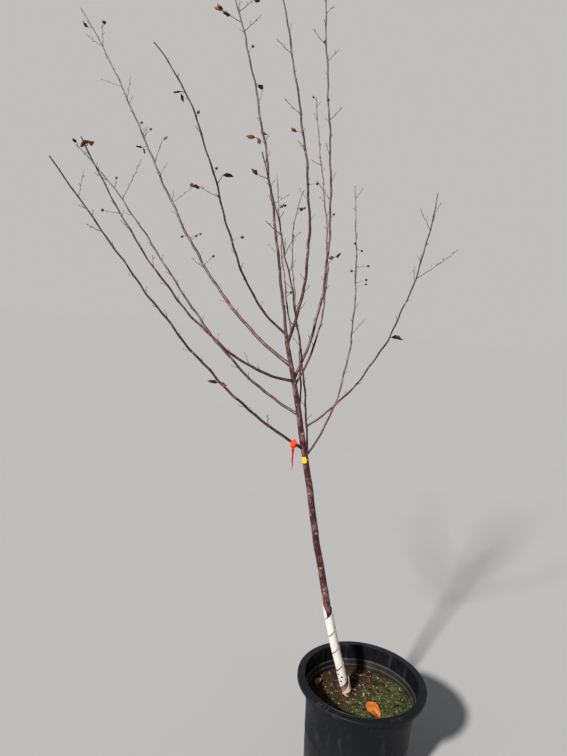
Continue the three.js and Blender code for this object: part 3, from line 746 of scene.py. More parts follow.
def seeded_spurs(limb, order, root_width):
    """The seeded spurs of a limb, at an even turn from one to the next."""
    draw = seeded(SPUR_SEED + order * SPUR_SEED_STEP)
    places = []
    at = SPUR_FIRST
    while at < SPUR_LAST:
        places.append(at)
        at += SPUR_SPACING * mix(*SPUR_SPACING_SPREAD, draw()) / limb.length
    longest = SPUR_KINDS[-1][2] * MM
    tangents = limb.tangent(places)
    found = []
    for i, (at, tangent, side, over) in enumerate(zip(places, tangents, *carried_frames(tangents))):
        kind = draw()
        _, low, high = next(row for row in SPUR_KINDS if kind < row[0])
        reach = mix(low, high, draw()) * MM * mix(1, SPUR_SHRINK, at)
        angle = math.radians(SPUR_TURN * i + SPUR_TURN_SPREAD * draw())
        ending = spur_ending(draw())
        direction = leaning(tangent, side, over, angle, SPUR_LEAN)
        width = min(root_width * mix(TWIG_THINNEST, 1, reach / longest), limb.radius(at) * TWIG_WIDEST)
        found.append(make_twig(limb.name, at, limb.place(at), direction, reach + limb.radius(at),
                               ending, width, angle))
    return found


def finer_shoots(twig, tip_width, spacing, random):
    """The same rule one step finer: short shoots at an even turn along a long twig."""
    count = int((twig["length"] - SHOOT_FREE) / spacing)
    tangent = unit(twig["direction"] + twig["lifted"])
    (side,), (over,) = carried_frames(tangent[None])
    found = []
    for i in range(max(0, count)):
        at = mix(*SHOOT_PLACES, (i + random.uniform(0.2, 0.8)) / count)
        wander = random.uniform(-SHOOT_TURN_SPREAD, SHOOT_TURN_SPREAD)
        angle = math.radians(SPUR_TURN * i) + twig["turn"] + wander
        direction = leaning(tangent, side, over, angle, SHOOT_LEAN)
        start = mix(twig["start"], twig["tip"], at)
        reach = random.uniform(*SHOOT_LENGTHS) * MM * mix(1, SHOOT_SHRINK, at)
        found.append(make_twig(twig["owner"], twig["at"], start, direction, reach, "bud",
                               tip_width * SHOOT_WIDTH, angle, rank=1))
    return found


def room_of(twig, fruit_radius, leaf_length):
    """Points along a twig, and how much room each one needs."""
    count = math.ceil(twig["length"] / TWIG_SPACING) + 1
    steps = (np.arange(count) + 1)[:, None] / count
    points = mix(twig["start"], twig["tip"], steps)
    ends = {"fruit": fruit_radius * 2, "leaf": leaf_length, "leaves": leaf_length}
    rooms = np.full(count + 1, twig["width"] / 2)
    rooms[-1] = ends.get(twig["ending"], rooms[-1])
    return np.vstack([points, twig["tip"]]), rooms


@lru_cache(maxsize=2)
def grow(collar, kink, trunk_kink, width, tip_width, fine_spacing, fruit_radius, leaf_length):
    """The limbs by name, and every twig that keeps clear of the other limbs' wood. The twigs of the
    part's own rule come first, then those of the bare boughs, then the finer shoots."""
    limbs = {"trunk": Trunk(trunk_kink)}
    for row in LIMBS:
        limbs[row["name"]] = Bough(row, limbs[row["on"]], collar, kink)
    taken = {}
    for name, limb in limbs.items():
        places = np.linspace(0, 1, math.ceil(limb.length / LIMB_SPACING) + 1)
        taken[name] = [(limb.even(places), limb.radius(places))]

    def keep_clear(waiting, owner):
        others = [pair for name in taken if name != owner for pair in taken[name]]
        spots, used = (np.concatenate(column) for column in zip(*others))
        found = []
        for twig in waiting:
            points, needs = room_of(twig, fruit_radius, leaf_length)
            gaps = np.linalg.norm(points[:, None] - spots, axis=-1) - used - needs[:, None]
            if gaps.min() > CLEARANCE:
                taken[owner].append((points, needs))
                found.append(twig)
        return found

    random = np.random.default_rng(SPUR_SEED)
    kept, on_boughs = [], []
    for order, row in enumerate(LIMBS):
        name, limb = row["name"], limbs[row["name"]]
        rule = named_twigs(limb, width) + seeded_spurs(limb, order, width)
        border = row["bough"] + BORDER / limb.length
        kept += keep_clear([twig for twig in rule if twig["at"] >= border], name)
        on_boughs.append([twig for twig in rule if twig["at"] < border and twig["length"] < LONG_TWIG])
    for row, waiting in zip(LIMBS, on_boughs):
        kept += keep_clear(waiting, row["name"])
    for row in LIMBS:
        own = [twig for twig in kept if twig["owner"] == row["name"]]
        finer = [shoot for twig in own for shoot in finer_shoots(twig, tip_width, fine_spacing, random)]
        kept += keep_clear(finer, row["name"])
    return limbs, kept


def grown_tree():
    """The limbs and twigs for the settings of the scene."""
    scene = bpy.context.scene
    bark, twigs = scene.sapling_bark, scene.sapling_twigs
    return grow(bark.collar, bark.kink, bark.trunk_kink, twigs.width, twigs.tip_width,
                twigs.fine_spacing, scene.sapling_fruit.radius, scene.sapling_leaves.length)


def pot_inside(pot, z, ledges=0):
    """Inside radius of the pot at a height, below so many ledges."""
    foot = pot.foot_radius + LEDGE_STEP * len(LEDGES)
    return mix(foot, pot.rim_radius - pot.lip_width, z / pot.height) - ledges * LEDGE_STEP


def rounded(corners, steps=4):
    """An outline with rounded corners. A corner is cut back by its radius on both sides, and a
    quadratic curve joins the two cuts."""
    corners = np.array(corners)
    points, cuts = corners[:, :2], corners[:, 2]
    t = np.linspace(0, 1, steps + 1)[:, None]
    outline = [points[:1]]
    for before, corner, after, cut in zip(points, points[1:], points[2:], cuts[1:]):
        if cut > 0:
            a = corner + unit(before - corner) * cut
            b = corner + unit(after - corner) * cut
            outline.append((1 - t) ** 2 * a + 2 * t * (1 - t) * corner + t ** 2 * b)
        else:
            outline.append(corner[None])
    return np.vstack(outline + [points[-1:]])


def pot_outline(pot):
    """The pot's wall from the middle of its floor, up the inside, over the lip and down the outside
    to the middle of its underside. Each row has radius, height and rounding."""
    wall, top, middle = pot.wall, pot.height, 2 * MM
    inner_lip, outer_lip = pot.rim_radius - pot.lip_width, pot.rim_radius
    upper_ledge, lower_ledge = LEDGES
    soft, crisp, edge = 2 * MM, 1 * MM, 0.7 * MM
    hollow, band_proud = 1.5 * MM, 1 * MM

    def inside(z, ledges=0, rounding=0.0):
        return (pot_inside(pot, z, ledges), z, rounding)

    def outside(z, ledges=0, rounding=0.0, proud=0.0):
        return (pot_inside(pot, z, ledges) + wall + proud, z, rounding)

    floor_and_slots = [
        (middle, pot.floor, 0), inside(pot.floor, 2, 6 * MM), inside(SLOT_LOW, 2), inside(SLOT_HIGH, 2)]
    ledges = [
        inside(lower_ledge - LEDGE_SLOPE, 2, edge), inside(lower_ledge, 1, edge),
        inside(upper_ledge - LEDGE_SLOPE, 1, edge), inside(upper_ledge, 0, edge)]
    ribs = [inside(RIB_LOW), inside(RIB_LOW + 3 * MM), inside(RIB_HIGH - 2 * MM), inside(RIB_HIGH)]
    lip = [
        (inner_lip, top, 1.1 * MM), (inner_lip + 3.4 * MM, top, crisp),
        (inner_lip + 4.2 * MM, top - 1.5 * MM, 0.6 * MM), (outer_lip, top - 2.6 * MM, 2.6 * MM),
        (outer_lip, top - pot.skirt, crisp), (outer_lip - wall, top - pot.skirt, crisp),
        (outer_lip - wall, top - 6 * MM, soft), (inner_lip + wall, top - 5 * MM, soft)]
    steps_outside = [
        outside(upper_ledge - 3 * MM, 0, crisp), outside(upper_ledge - 5 * MM, 1, crisp),
        outside(lower_ledge - 3 * MM, 1, crisp), outside(lower_ledge - 5 * MM, 2, crisp)]
    band = [
        outside(BAND_HIGH + 1.5 * MM, 2), outside(BAND_HIGH, 2, 0.6 * MM, band_proud),
        outside(BAND_LOW, 2, 0.6 * MM, band_proud), outside(BAND_LOW - 1.5 * MM, 2)]
    slots_and_foot = [
        outside(SLOT_HIGH, 2), outside(SLOT_LOW, 2),
        (pot.foot_radius + wall, 4 * MM, soft), (pot.foot_radius + wall - 4 * MM, 0, soft),
        (pot.foot_radius - 24 * MM, 0, crisp), (pot.foot_radius - 26 * MM, hollow, crisp),
        (middle, hollow, 0)]
    return rounded(floor_and_slots + ledges + ribs + lip + steps_outside + band + slots_and_foot)


def lip_marks(lip):
    """Low strokes across the lip: the four moulded marks and the end of the mould's seam."""
    ends = np.sin(np.pi * np.linspace(0.04, 0.96, 9)) ** 0.3
    strokes = [(angle, 279.5 * MM, 1.1 * MM) for angle in LIP_MARKS] + [(LIP_SEAM, 280.5 * MM, 0.6 * MM)]
    marks = []
    for angle, outer_end, proud in strokes:
        distance = np.linspace(257.5 * MM, outer_end, 9)[:, None]
        line = distance * heading(angle, 0) + [0, 0, lip]
        marks.append(closed_tubes(tubes(line, proud * ends, 8), dust=np.full((9, 8), 0.6)))
    return marks


def build_pot(pot):
    """The pot is its outline turned round the axis. Each point's radius is less by a rib's height
    near the middle of a rib, and cells between the slots' edges are left out and walled round."""
    half = 180 / pot.ribs
    slot = math.degrees(SLOT_WIDTH / 2 / pot_inside(pot, SLOT_LOW, 2))
    rib = math.degrees(RIB_WIDTH / 2 / pot_inside(pot, RIB_HIGH))
    rib_foot = rib + math.degrees(0.6 * MM / pot_inside(pot, RIB_HIGH))
    slot_columns = slot * np.array([-1, -0.62, -0.3, 0, 0.3, 0.62, 1])
    panel = np.concatenate([[-half, rib - half, rib_foot - half], slot_columns,
                            [half - rib_foot, half - rib]])
    rib_share = np.array([1, 1, 0] + [0] * len(slot_columns) + [0, 1])
    centres = 2 * half * np.arange(pot.ribs)
    turn = np.radians(centres[:, None] + panel).ravel()
    ribs = np.tile(rib_share, pot.ribs)
    radius, height = pot_outline(pot).T
    is_inside = np.arange(len(radius)) < np.argmax(height >= pot.height - 1e-6)
    rib_window = eased((height - RIB_LOW) / (3 * MM)) * eased((RIB_HIGH - height) / (2 * MM))
    grid_radius = radius[:, None] - RIB_PROUD * (rib_window * is_inside)[:, None] * ribs
    points = joined(grid_radius * np.cos(turn), grid_radius * np.sin(turn), height[:, None])
    here, corners = cells((1,) + points.shape[:2], True)
    here, corners = here[0], corners[0]
    keep = np.ones(corners.shape[:2], bool)
    in_low, out_low = np.flatnonzero(np.isclose(height, SLOT_LOW))
    in_high, out_high = np.flatnonzero(np.isclose(height, SLOT_HIGH))
    walls = []
    for sector in range(0, pot.ribs, SLOT_RIBS):
        columns = sector * len(panel) + 3 + np.arange(len(slot_columns))
        keep[in_low, columns[:-1]] = False
        keep[out_high, columns[:-1]] = False
        inner = np.concatenate([here[in_low, columns], here[in_high, columns[::-1]]])
        outer = np.concatenate([here[out_low, columns], here[out_high, columns[::-1]]])
        walls.append(joined(inner, np.roll(inner, -1), np.roll(outer, -1), outer))
    faces = [corners[keep], here[0][None, ::-1], here[-1][None], np.concatenate(walls)]
    # Pale lines along each inside ledge, carried in the dust field: partly dust lying on the ledge and
    # partly a painted highlight where the ledge catches the light
    dust = sum(np.exp(-((height - ledge + 1 * MM) / (1.4 * MM)) ** 2) for ledge in LEDGES)
    dust = np.broadcast_to((0.55 * dust * is_inside)[:, None], grid_radius.shape)
    wall = block(points, [face[:, ::-1] for face in faces], dust=dust)
    put_piece("nursery_pot", [wall] + lip_marks(pot.height - 2.1 * MM), [moulded_polyethylene(pot)],
              ["pot"], crease=35)


def soil_height(x, y, soil):
    """Height of the mix: waves of three sizes, a low mound at the trunk, and a dip along the wall."""
    flat = joined(x, y)
    lumps = (0.55 * waves(flat, 85 * MM, 1) + 0.35 * waves(flat, 33 * MM, 2)
             + 0.2 * waves(flat, 13 * MM, 3))
    foot = np.array(TRUNK_FOOT[:2]) * MM
    mound = 0.5 * np.exp(-((x - foot[0]) ** 2 + (y - foot[1]) ** 2) / (70 * MM) ** 2)
    dip = eased((np.hypot(x, y) - 190 * MM) / (45 * MM))
    return soil.level - 1 * MM + soil.relief * (lumps + mound - 1.1 * dip)


def build_soil(soil, pot):
    """The mix is a disc of rings whose height follows soil_height, with a side that follows the
    pot's wall down to its floor."""
    gap, sides = 0.5 * MM, 200
    around = TURN * np.arange(sides) / sides
    bottom = pot.floor + 0.4 * MM
    rim = pot_inside(pot, soil.level - 8 * MM, 2) - gap
    reach = np.append(1 * MM, np.linspace(4 * MM, rim, 64))
    x, y = reach[:, None] * np.cos(around), reach[:, None] * np.sin(around)
    rows = [joined(x, y, soil_height(x, y, soil))]
    side_rows = [(pot_inside(pot, z, 2) - gap, z) for z in (soil.level - 14 * MM, soil.level / 2, bottom)]
    for radius, z in side_rows + [(1 * MM, bottom)]:
        row = joined(radius * np.cos(around), radius * np.sin(around), z)
        rows.append(row[None])
    mass = closed_tubes(np.concatenate(rows)[::-1])
    put_piece("potting_mix", [mass], [damp_potting_mix(soil)], ["root_ball"], crease=80)


def scattered(count, reach, random):
    """Points spread evenly over a disc."""
    distance = reach * np.sqrt(random.uniform(0.0, 1, count))
    around = random.uniform(0, TURN, count)
    return distance * np.cos(around), distance * np.sin(around)


def chip_block(soil, reach, random):
    """Chips are rings round a short straight line, wide and flat, with each point moved a little.
    Every chip gets its own size and tilt and lies on the mix."""
    count = soil.chips
    x, y = scattered(count, reach - 8 * MM, random)
    size = random.lognormal(math.log(8 * MM), 0.42, count).clip(3 * MM, 26 * MM)
    breadth = size * random.uniform(0.3, 0.7, count)
    depth = size * random.uniform(0.16, 0.4, count)
    steps = np.linspace(-0.5, 0.5, 5)
    bulge = np.array([0.45, 0.95, 1, 0.9, 0.4])
    angle = TURN * np.arange(6) / 6
    shape = joined(
        steps[None, :, None] * size[:, None, None],
        bulge[None, :, None] * np.cos(angle) * breadth[:, None, None] / 2,
        bulge[None, :, None] * np.sin(angle) * depth[:, None, None] / 2)
    shape = shape * random.uniform(0.75, 1.25, shape.shape)
    along = heading(random.uniform(0, 360, count), random.normal(0, 14, count))
    across = unit(np.cross(along, np.array([0, 0, 1.0]) + random.normal(0, 0.3, (count, 3))))
    axes = np.stack([along, across, np.cross(along, across)], 1)
    turned = np.einsum("nrsk,nkj->nrsj", shape, axes)
    centre = joined(x, y, soil_height(x, y, soil) + 0.25 * depth)
    tint = random.choice(3, count, p=[0.38, 0.47, 0.15])
    return closed_tubes(turned + centre[:, None, None], tint)


def fibre_block(soil, reach, random, tint):
    """Fibres are thin tubes along shallow arcs: a straight line bent sideways by a square. Each
    point lies a little above the mix."""
    count = soil.fibres
    x, y = scattered(count, reach - 25 * MM, random)
    spread = np.linspace(-0.5, 0.5, 9)[None, :, None] * random.uniform(0.02, 0.075, (count, 1, 1))
    facing = heading(random.uniform(0, 360, count), 0)[:, None]
    bend = np.cross(facing, [0, 0, 1.0]) * spread ** 2 * random.normal(0, 9, (count, 1, 1))
    line = joined(x, y, 0)[:, None] + facing * spread + bend
    line[..., 2] = soil_height(line[..., 0], line[..., 1], soil) + 1.6 * MM
    return closed_tubes(tubes(line, np.full(line.shape[:2], 0.4 * MM), 5), tint)


def build_chips(soil, pot):
    """Bark chips, pale splinters and dry fibres lie scattered on the mix."""
    random = np.random.default_rng(77)
    reach = pot_inside(pot, soil.level, 2)
    scraps = [chip_block(soil, reach, random), fibre_block(soil, reach, random, 3)]
    finishes = [matt_scraps("composted humus", soil.humus), matt_scraps("composted bark", soil.bark),
                matt_scraps("pale wood splinters", soil.wood), matt_scraps("dry stalks", soil.stalk)]
    put_piece("bark_chips", scraps, finishes)


def bark_relief(limb, t, angle, radius, bark):
    """How far the bark stands off its even tube: long wrinkles, short pores that run round the
    limb, and broad low swellings."""
    along = (t * limb.length)[:, None]
    girth = radius[:, None]
    ring = [girth * np.cos(angle), girth * np.sin(angle)]
    wrinkles = waves(joined(*ring, along / 9), 4.5 * MM, 11)
    pores = waves(joined(*ring, along * 3), 6 * MM, 12)
    pores = np.clip(pores - 0.75, 0, 1)
    swell = waves(joined(*ring, along / 2), 30 * MM, 13)
    relief = bark.relief * (0.45 * wrinkles + 1.6 * pores + 0.9 * swell)
    return relief, np.broadcast_to(pores, wrinkles.shape)


def limb_surface(limb, t, sides, bark, nodes=(), scars=()):
    """A limb's tube with its bark: radius plus relief, plus a smooth swelling at each node and
    scar. Also gives the values that the bark's finish reads."""
    angle = TURN * np.arange(sides) / sides
    radius = limb.radius(t)
    along = t * limb.length
    relief, pores = bark_relief(limb, t, angle, radius, bark)
    for node in nodes:
        swelling = np.exp(-((along - node * limb.length) / (3.2 * MM)) ** 2)
        relief = relief + 0.16 * (radius * swelling)[:, None]
    scar = np.zeros(relief.shape)
    for height, around, width in scars:
        width = width * MM
        above = along[:, None] - height * MM
        sideways = ((np.radians(around) - angle + np.pi) % TURN - np.pi) * radius[:, None]
        span = (above / (width * 0.42)) ** 2 + (sideways / (width * 0.5)) ** 2
        relief = relief + 1.3 * MM * np.exp(-span) - 0.8 * MM * np.exp(-4 * span)
        relief = relief + 0.08 * width * np.exp(-(above / (7 * MM)) ** 2)
        patch = eased((np.exp(-span) - 0.15) / 0.6) * (1 - 0.6 * np.exp(-4 * span))
        scar = np.maximum(scar, 0.75 * patch)
    grid = tubes(limb.place(t), radius[:, None] + relief, sides)
    ring = 12 * MM * np.stack([np.cos(angle), np.sin(angle)])
    grain = joined(*ring, along[:, None])
    return grid, grain, pores, scar


def trunk_block(trunk, bark):
    """The trunk: its tube, cut level at the mix, with a low dome on top that its forks cover. A
    ring of the dome lies a share of the way out from the middle line, and higher than the last."""
    t = np.linspace(0, 1, 1000)
    scars = [(height, around + 90, width) for height, around, width in TRUNK_SCARS]
    grid, grain, pores, scar = limb_surface(trunk, t, 54, bark, scars=scars)
    ground = trunk.knots[0][2]
    cut_rings = 18
    lowest = ground + np.arange(cut_rings)[:, None] * 0.15 * MM
    grid[:cut_rings, :, 2] = np.maximum(grid[:cut_rings, :, 2], lowest)
    grid[0, :, 2] = ground
    outward, lift = np.array(TRUNK_DOME).T[:, :, None, None]
    dome = mix(trunk.place(t[-1]), grid[-1], outward) + trunk.tangent(1 - 1e-3) * lift * MM
    fields = {"grain": grain, "age": np.broadcast_to((0.25 * t ** 2)[:, None], pores.shape),
              "pores": pores, "scar": scar}
    for key, value in fields.items():
        fields[key] = np.concatenate([value, value[-1:].repeat(len(dome), 0)])
    return closed_tubes(np.concatenate([grid, dome]), **fields)


def limb_block(limb, nodes, bark):
    """A limb's tube to its tip, with a ring scar below every third node. A limb that starts beside
    the trunk's middle gets a heel of six more rings that ends inside the trunk."""
    t = np.linspace(0, 1, int(limb.length / (4.2 * MM)))
    if "shift" in limb.row:
        t = np.append(np.linspace(-HEEL / limb.length, 0, 7)[:-1], t)
    grid, grain, pores, scar = limb_surface(limb, t, 14, bark, nodes)
    along = t * limb.length
    for node in nodes[::3]:
        ring = np.exp(-((along - (node * limb.length - 5 * MM)) / (1.3 * MM)) ** 2)
        scar = np.maximum(scar, 0.5 * ring[:, None])
    age = np.broadcast_to(mix(0.02, 1, np.maximum(0, t) ** 2.2)[:, None], pores.shape)
    return closed_tubes(grid, grain=grain, age=age, pores=pores, scar=scar)


def build_bark(bark):
    """The trunk, and every limb to its tip. A limb starts inside the one that carries it."""
    limbs, twigs = grown_tree()
    finish = thin_fruitwood_bark(bark)
    put_piece("trunk_bark", [trunk_block(limbs["trunk"], bark)], [finish], ["trunk"], crease=70)
    blocks = []
    for row in LIMBS:
        name = row["name"]
        nodes = [twig["at"] for twig in twigs if twig["owner"] == name and twig["rank"] == 0]
        blocks.append(limb_block(limbs[name], nodes, bark))
    nodes = ["bough_" + row["name"] for row in LIMBS]
    put_piece("limb_bark", blocks, [finish], nodes, crease=70)


def column(twigs, key):
    """One value of each twig of a list, as an array."""
    return np.array([twig[key] for twig in twigs])


def twig_paths(twigs, steps):
    """Middle lines of a batch of twigs: a quadratic curve from the root over the bend to the tip,
    with a small zigzag that fades out at both ends."""
    start, first, tip = (column(twigs, key)[:, None] for key in ("start", "direction", "tip"))
    reach, turn = (column(twigs, key)[:, None, None] for key in ("length", "turn"))
    bend = start + first * reach / 2
    t = np.linspace(0, 1, steps)[None, :, None]
    curve = (1 - t) ** 2 * start + 2 * t * (1 - t) * bend + t ** 2 * tip
    side = unit(np.cross(first, [0.2, 0.1, 1.0]))
    wobble = np.sin(TURN * reach * t / (34 * MM) + turn * 5) * side
    wobble = wobble + np.cos(TURN * reach * t / (41 * MM) + turn * 3) * np.cross(first, side)
    return curve + wobble * np.sin(np.pi * t) * np.minimum(reach * 0.02, 0.9 * MM)


def build_twigs(twigs, fruit):
    """Twigs taper evenly from a small collar, with rings of old bud scars on the short ones. A
    fruit's stalk thins out sooner. Each limb's shoots take two of the three finishes."""
    limbs, grown = grown_tree()
    random = np.random.default_rng(5)
    steps = 12
    paths = twig_paths(grown, steps)
    t = np.linspace(0, 1, steps)
    width, reach = column(grown, "width")[:, None], column(grown, "length")[:, None]
    is_fruit = column(grown, "ending")[:, None] == "fruit"
    tip = np.where(is_fruit, fruit.stalk, twigs.tip_width)
    taper = np.where(is_fruit, np.minimum(1, 1.6 * t), t)
    radius = mix(np.maximum(width, tip), tip, taper) / 2
    radius = radius * (1 + 0.55 * np.exp(-t * reach / (2.5 * MM)))
    rings = 1 + 0.16 * np.sin(TURN * t * steps / 2.6 + random.uniform(0, TURN, (len(grown), 1)))
    ripple = 1 + 0.05 * np.sin(t * 23 + width * 1e4)
    radius = radius * np.where(reach < 45 * MM, rings, ripple)
    tints = {name: i for i, name in enumerate(limbs)}
    tint = np.array([(tints[twig["owner"]] + int(random.integers(2))) % 3 for twig in grown])
    nodes = ["twigs_" + row["name"] for row in LIMBS]
    finishes = [smooth_shoot("red young shoots", twigs.red), smooth_shoot("brown spurs", twigs.brown),
                smooth_shoot("tan shoots", twigs.tan)]
    shoots = closed_tubes(tubes(paths, radius, 6), tint)
    put_piece("twigs", [shoots], finishes, nodes, crease=70)


def ovoids(points, directions, reach, width, sides=6, rows=6):
    """Pointed buds: rings whose radius is a sine that leans towards the root."""
    t = np.linspace(0, 1, rows)
    lines = points[:, None] + directions[:, None] * reach[:, None, None] * t[:, None]
    profile = np.sin(np.pi * (0.16 + 0.8 * t) ** 0.85)
    return tubes(lines, width[:, None] / 2 * profile, sides)


def build_buds(twigs):
    """A fat bud ends each twig, and small ones lie along twigs and limbs at an even turn."""
    limbs, grown = grown_tree()
    random = np.random.default_rng(6)
    bud = twigs.bud_length
    points, directions, reaches = [], [], []

    def add_buds(middle, tangent, turns, radius, reach):
        side = unit(np.cross(tangent, [0.3, 0.2, 1.0]))
        over = np.cross(tangent, side)
        across = side * np.cos(turns)[:, None] + over * np.sin(turns)[:, None]
        points.append(middle + across * radius[:, None] * 0.7)
        directions.append(unit(tangent + across * 0.55))
        reaches.append(reach)

    ends = [twig for twig in grown if twig["ending"] == "bud"]
    reaches.append(bud * random.uniform(0.75, 1.25, len(ends)))
    directions.append(column(ends, "lifted"))
    points.append(column(ends, "tip") - directions[0] * reaches[0][:, None] * 0.8)
    for twig in grown:
        count = int(twig["length"] / twigs.bud_spacing)
        if twig["rank"] or not count:
            continue
        t = (np.arange(count) + 0.6) / (count + 0.4)
        middle = twig_paths([twig], 24)[0, (t * 23).astype(int)]
        turns = np.radians(SPUR_TURN) * np.arange(count) + twig["turn"]
        radius = mix(twig["width"], twigs.tip_width, t) / 2
        tangent = np.broadcast_to(unit(twig["direction"] + twig["lifted"]), middle.shape)
        add_buds(middle, tangent, turns, radius, bud * random.uniform(0.5, 0.75, count))
    for row in LIMBS:
        limb = limbs[row["name"]]
        t = np.arange(0.16, 0.99, 31 * MM / limb.length)
        turns = np.radians(SPUR_TURN) * np.arange(len(t)) + 1.1
        reach = bud * random.uniform(0.7, 1.0, len(t))
        add_buds(limb.place(t), limb.tangent(t), turns, limb.radius(t), reach)
    reaches = np.concatenate(reaches)
    shape = ovoids(np.concatenate(points), np.concatenate(directions), reaches, reaches * 0.44)
    put_piece("buds", [closed_tubes(shape)], [bud_scales(twigs)], crease=60)


def blades(root, along, across, size, fold, curl, wave, rows=11, columns=7):
    """Withered leaves. The outline is widest below the middle and comes to a point. The halves fold
    up about the midrib by an angle, the length rolls up by the angle curl, and waves crumple it."""
    u = np.linspace(-1, 1, columns)
    v = np.linspace(0, 1, rows)[:, None]
    face = np.cross(along, across)
    outline = np.sin(np.pi * np.clip(v, 0.02, 0.985) ** 0.82) ** 0.75
    teeth = 1 + 0.05 * (-1) ** np.arange(rows)[:, None]
    half = outline * teeth * u
    reach, breadth = size.T[:, :, None, None]
    fold, curl = fold[:, None, None], curl[:, None, None]
    roll = curl * v
    forward = np.sin(roll) / curl * reach
    upward = (1 - np.cos(roll)) / curl * reach
    sideways = half * np.cos(fold * np.abs(u) ** 0.5) * breadth / 2
    crumple = waves(joined(half * 0.5, v, wave[:, None, None]), 0.5, 21)
    lift = np.abs(half) * np.sin(fold) * breadth / 2
    lift = lift + crumple * 0.055 * reach * np.minimum(1, 4 * v)
    forward, lift = forward - np.sin(roll) * lift, upward + np.cos(roll) * lift
    return (root[:, None, None] + along[:, None, None] * forward[..., None]
            + across[:, None, None] * sideways[..., None] + face[:, None, None] * lift[..., None])


def leaf_block(upper, thickness, tint):
    """A blade with its other side a fixed distance below, along the surface's own normal."""
    normal = unit(np.cross(np.gradient(upper, axis=-2), np.gradient(upper, axis=-3)))
    return closed_sheets(upper, upper - normal * thickness, tint=tint)


def build_leaves(leaf):
    """One to four withered leaves hang from each leafy twig's end, each on a short stalk."""
    random = np.random.default_rng(8)
    places = []
    for twig in grown_tree()[1]:
        if twig["ending"] not in ("leaf", "leaves"):
            continue
        for i in range(1 + 2 * (twig["ending"] == "leaves") + int(random.integers(2))):
            turn = twig["turn"] + 2.2 * i + random.normal(0, 0.25)
            out = np.array([0.5 * math.cos(turn), 0.5 * math.sin(turn), random.uniform(-0.95, -0.3)])
            along = unit(twig["lifted"] * 0.5 + out)
            across = np.array([-math.sin(turn), math.cos(turn), 0.3])
            across = unit(across - along * np.dot(across, along))
            start = twig["tip"] - twig["lifted"] * leaf.length * 0.1
            root = start + along * leaf.length * random.uniform(0.06, 0.16)
            places.append((start, root, along, across))
    starts, roots, alongs, acrosses = np.swapaxes(places, 0, 1)
    count = len(places)
    size = np.array([leaf.length * 0.9, leaf.width]) * random.uniform(0.75, 1.25, (count, 1))
    fold = leaf.fold * random.uniform(0.9, 2.0, count)
    curl = random.uniform(0.5, 2.6, count)
    upper = blades(roots, alongs, acrosses, size, fold, curl, random.uniform(0, 9, count))
    tint = random.choice(3, count, p=[0.44, 0.4, 0.16])
    overlap = 1 * MM
    stalks = mix(starts[:, None], roots[:, None] + alongs[:, None] * overlap,
                 np.linspace(0, 1, 4)[:, None])
    stems = closed_tubes(tubes(stalks, np.full((count, 4), 0.5 * MM), 5), tint)
    finishes = [withered_leaf("russet leaves", leaf.russet), withered_leaf("brown leaves", leaf.brown),
                withered_leaf("ochre leaves", leaf.ochre)]
    put_piece("leaves", [leaf_block(upper, 0.45 * MM, tint), stems], finishes, crease=80)


def build_fallen_leaves(leaf, soil):
    """A few leaves lie on the mix, curled up at their edges."""
    random = np.random.default_rng(3)
    count = len(FALLEN_LEAVES)
    x, y, around, reach, width, rise, fold, curl, tint = np.array(FALLEN_LEAVES, float).T
    x, y, rise = x * MM, y * MM, rise * MM
    along = heading(around, random.uniform(3, 12, count))
    across = unit(np.cross([0, 0, 1.0], along) + [0, 0, 0.12])
    root = joined(x, y, soil_height(x, y, soil) + rise) - along * reach[:, None] / 2 * MM
    size = joined(reach, width) * MM
    upper = blades(root, along, across, size, fold, -curl, random.uniform(0, 9, count), 15, 11)
    finishes = [withered_leaf("fallen orange leaf", leaf.orange),
                withered_leaf("fallen tan leaf", leaf.tan),
                withered_leaf("fallen brown leaf", leaf.brown)]
    sheets = [leaf_block(upper, 0.5 * MM, tint.astype(int))]
    put_piece("fallen_leaves", sheets, finishes, crease=80)


def build_fruit(fruit):
    """A fruit is rings round its stalk's line. The radius is a circle's, drawn in at the stalk and
    at the dry calyx on the far end, with a few shallow folds."""
    random = np.random.default_rng(9)
    ends = [twig for twig in grown_tree()[1] if twig["ending"] == "fruit"]
    tips = column(ends, "tip")[:, None]
    down = unit(column(ends, "lifted") + [0, 0, -0.35])[:, None]
    size = fruit.radius * random.uniform(0.88, 1.08, len(ends))[:, None]
    turn = np.linspace(0.12, np.pi - 0.12, 10)
    dimples = 0.16 * np.exp(-(turn / 0.4) ** 2) + 0.2 * np.exp(-((np.pi - turn) / 0.42) ** 2)
    height = size * (1 - 0.97 * np.cos(turn) - dimples)
    paths = tips + down * (height - 1.2 * MM)[..., None]
    sides = 12
    angle = TURN * np.arange(sides) / sides
    folds = 1 + 0.035 * np.sin(5 * angle + random.uniform(0, TURN, (len(ends), 1)))
    radius = (size * np.sin(turn))[..., None] * folds[:, None]
    skins = tubes(paths, radius, sides)
    calyx_radii = np.array([0.8, 1.0, 1.5, 1.7]) * MM
    calyx = tips + down * (size * 1.78 + np.linspace(0, 1, 4) * 2.2 * MM)[..., None]
    cups = tubes(calyx, np.broadcast_to(calyx_radii, (len(ends), 4)), 6)
    tint = random.integers(2, size=len(ends))
    finishes = [waxy_skin("dark fruit skin", fruit.skin), waxy_skin("red fruit skin", fruit.red),
                matt_scraps("dry calyx", fruit.calyx)]
    blocks = [closed_tubes(skins, tint), closed_tubes(cups, 2)]
    put_piece("fruit", blocks, finishes, crease=60)


def around_trunk(trunk, angle, height, radius):
    """Points round the trunk, from an angle, a height along it and a distance off its middle."""
    t = height / trunk.length
    middle, tangent = trunk.place(t), trunk.tangent(t)
    right = unit(np.array([1.0, 0, 0]) - tangent * tangent[..., :1])
    away = np.cross(tangent, right)
    angle, radius = np.radians(angle)[..., None], radius[..., None]
    return middle + radius * (right * np.cos(angle) + away * np.sin(angle))


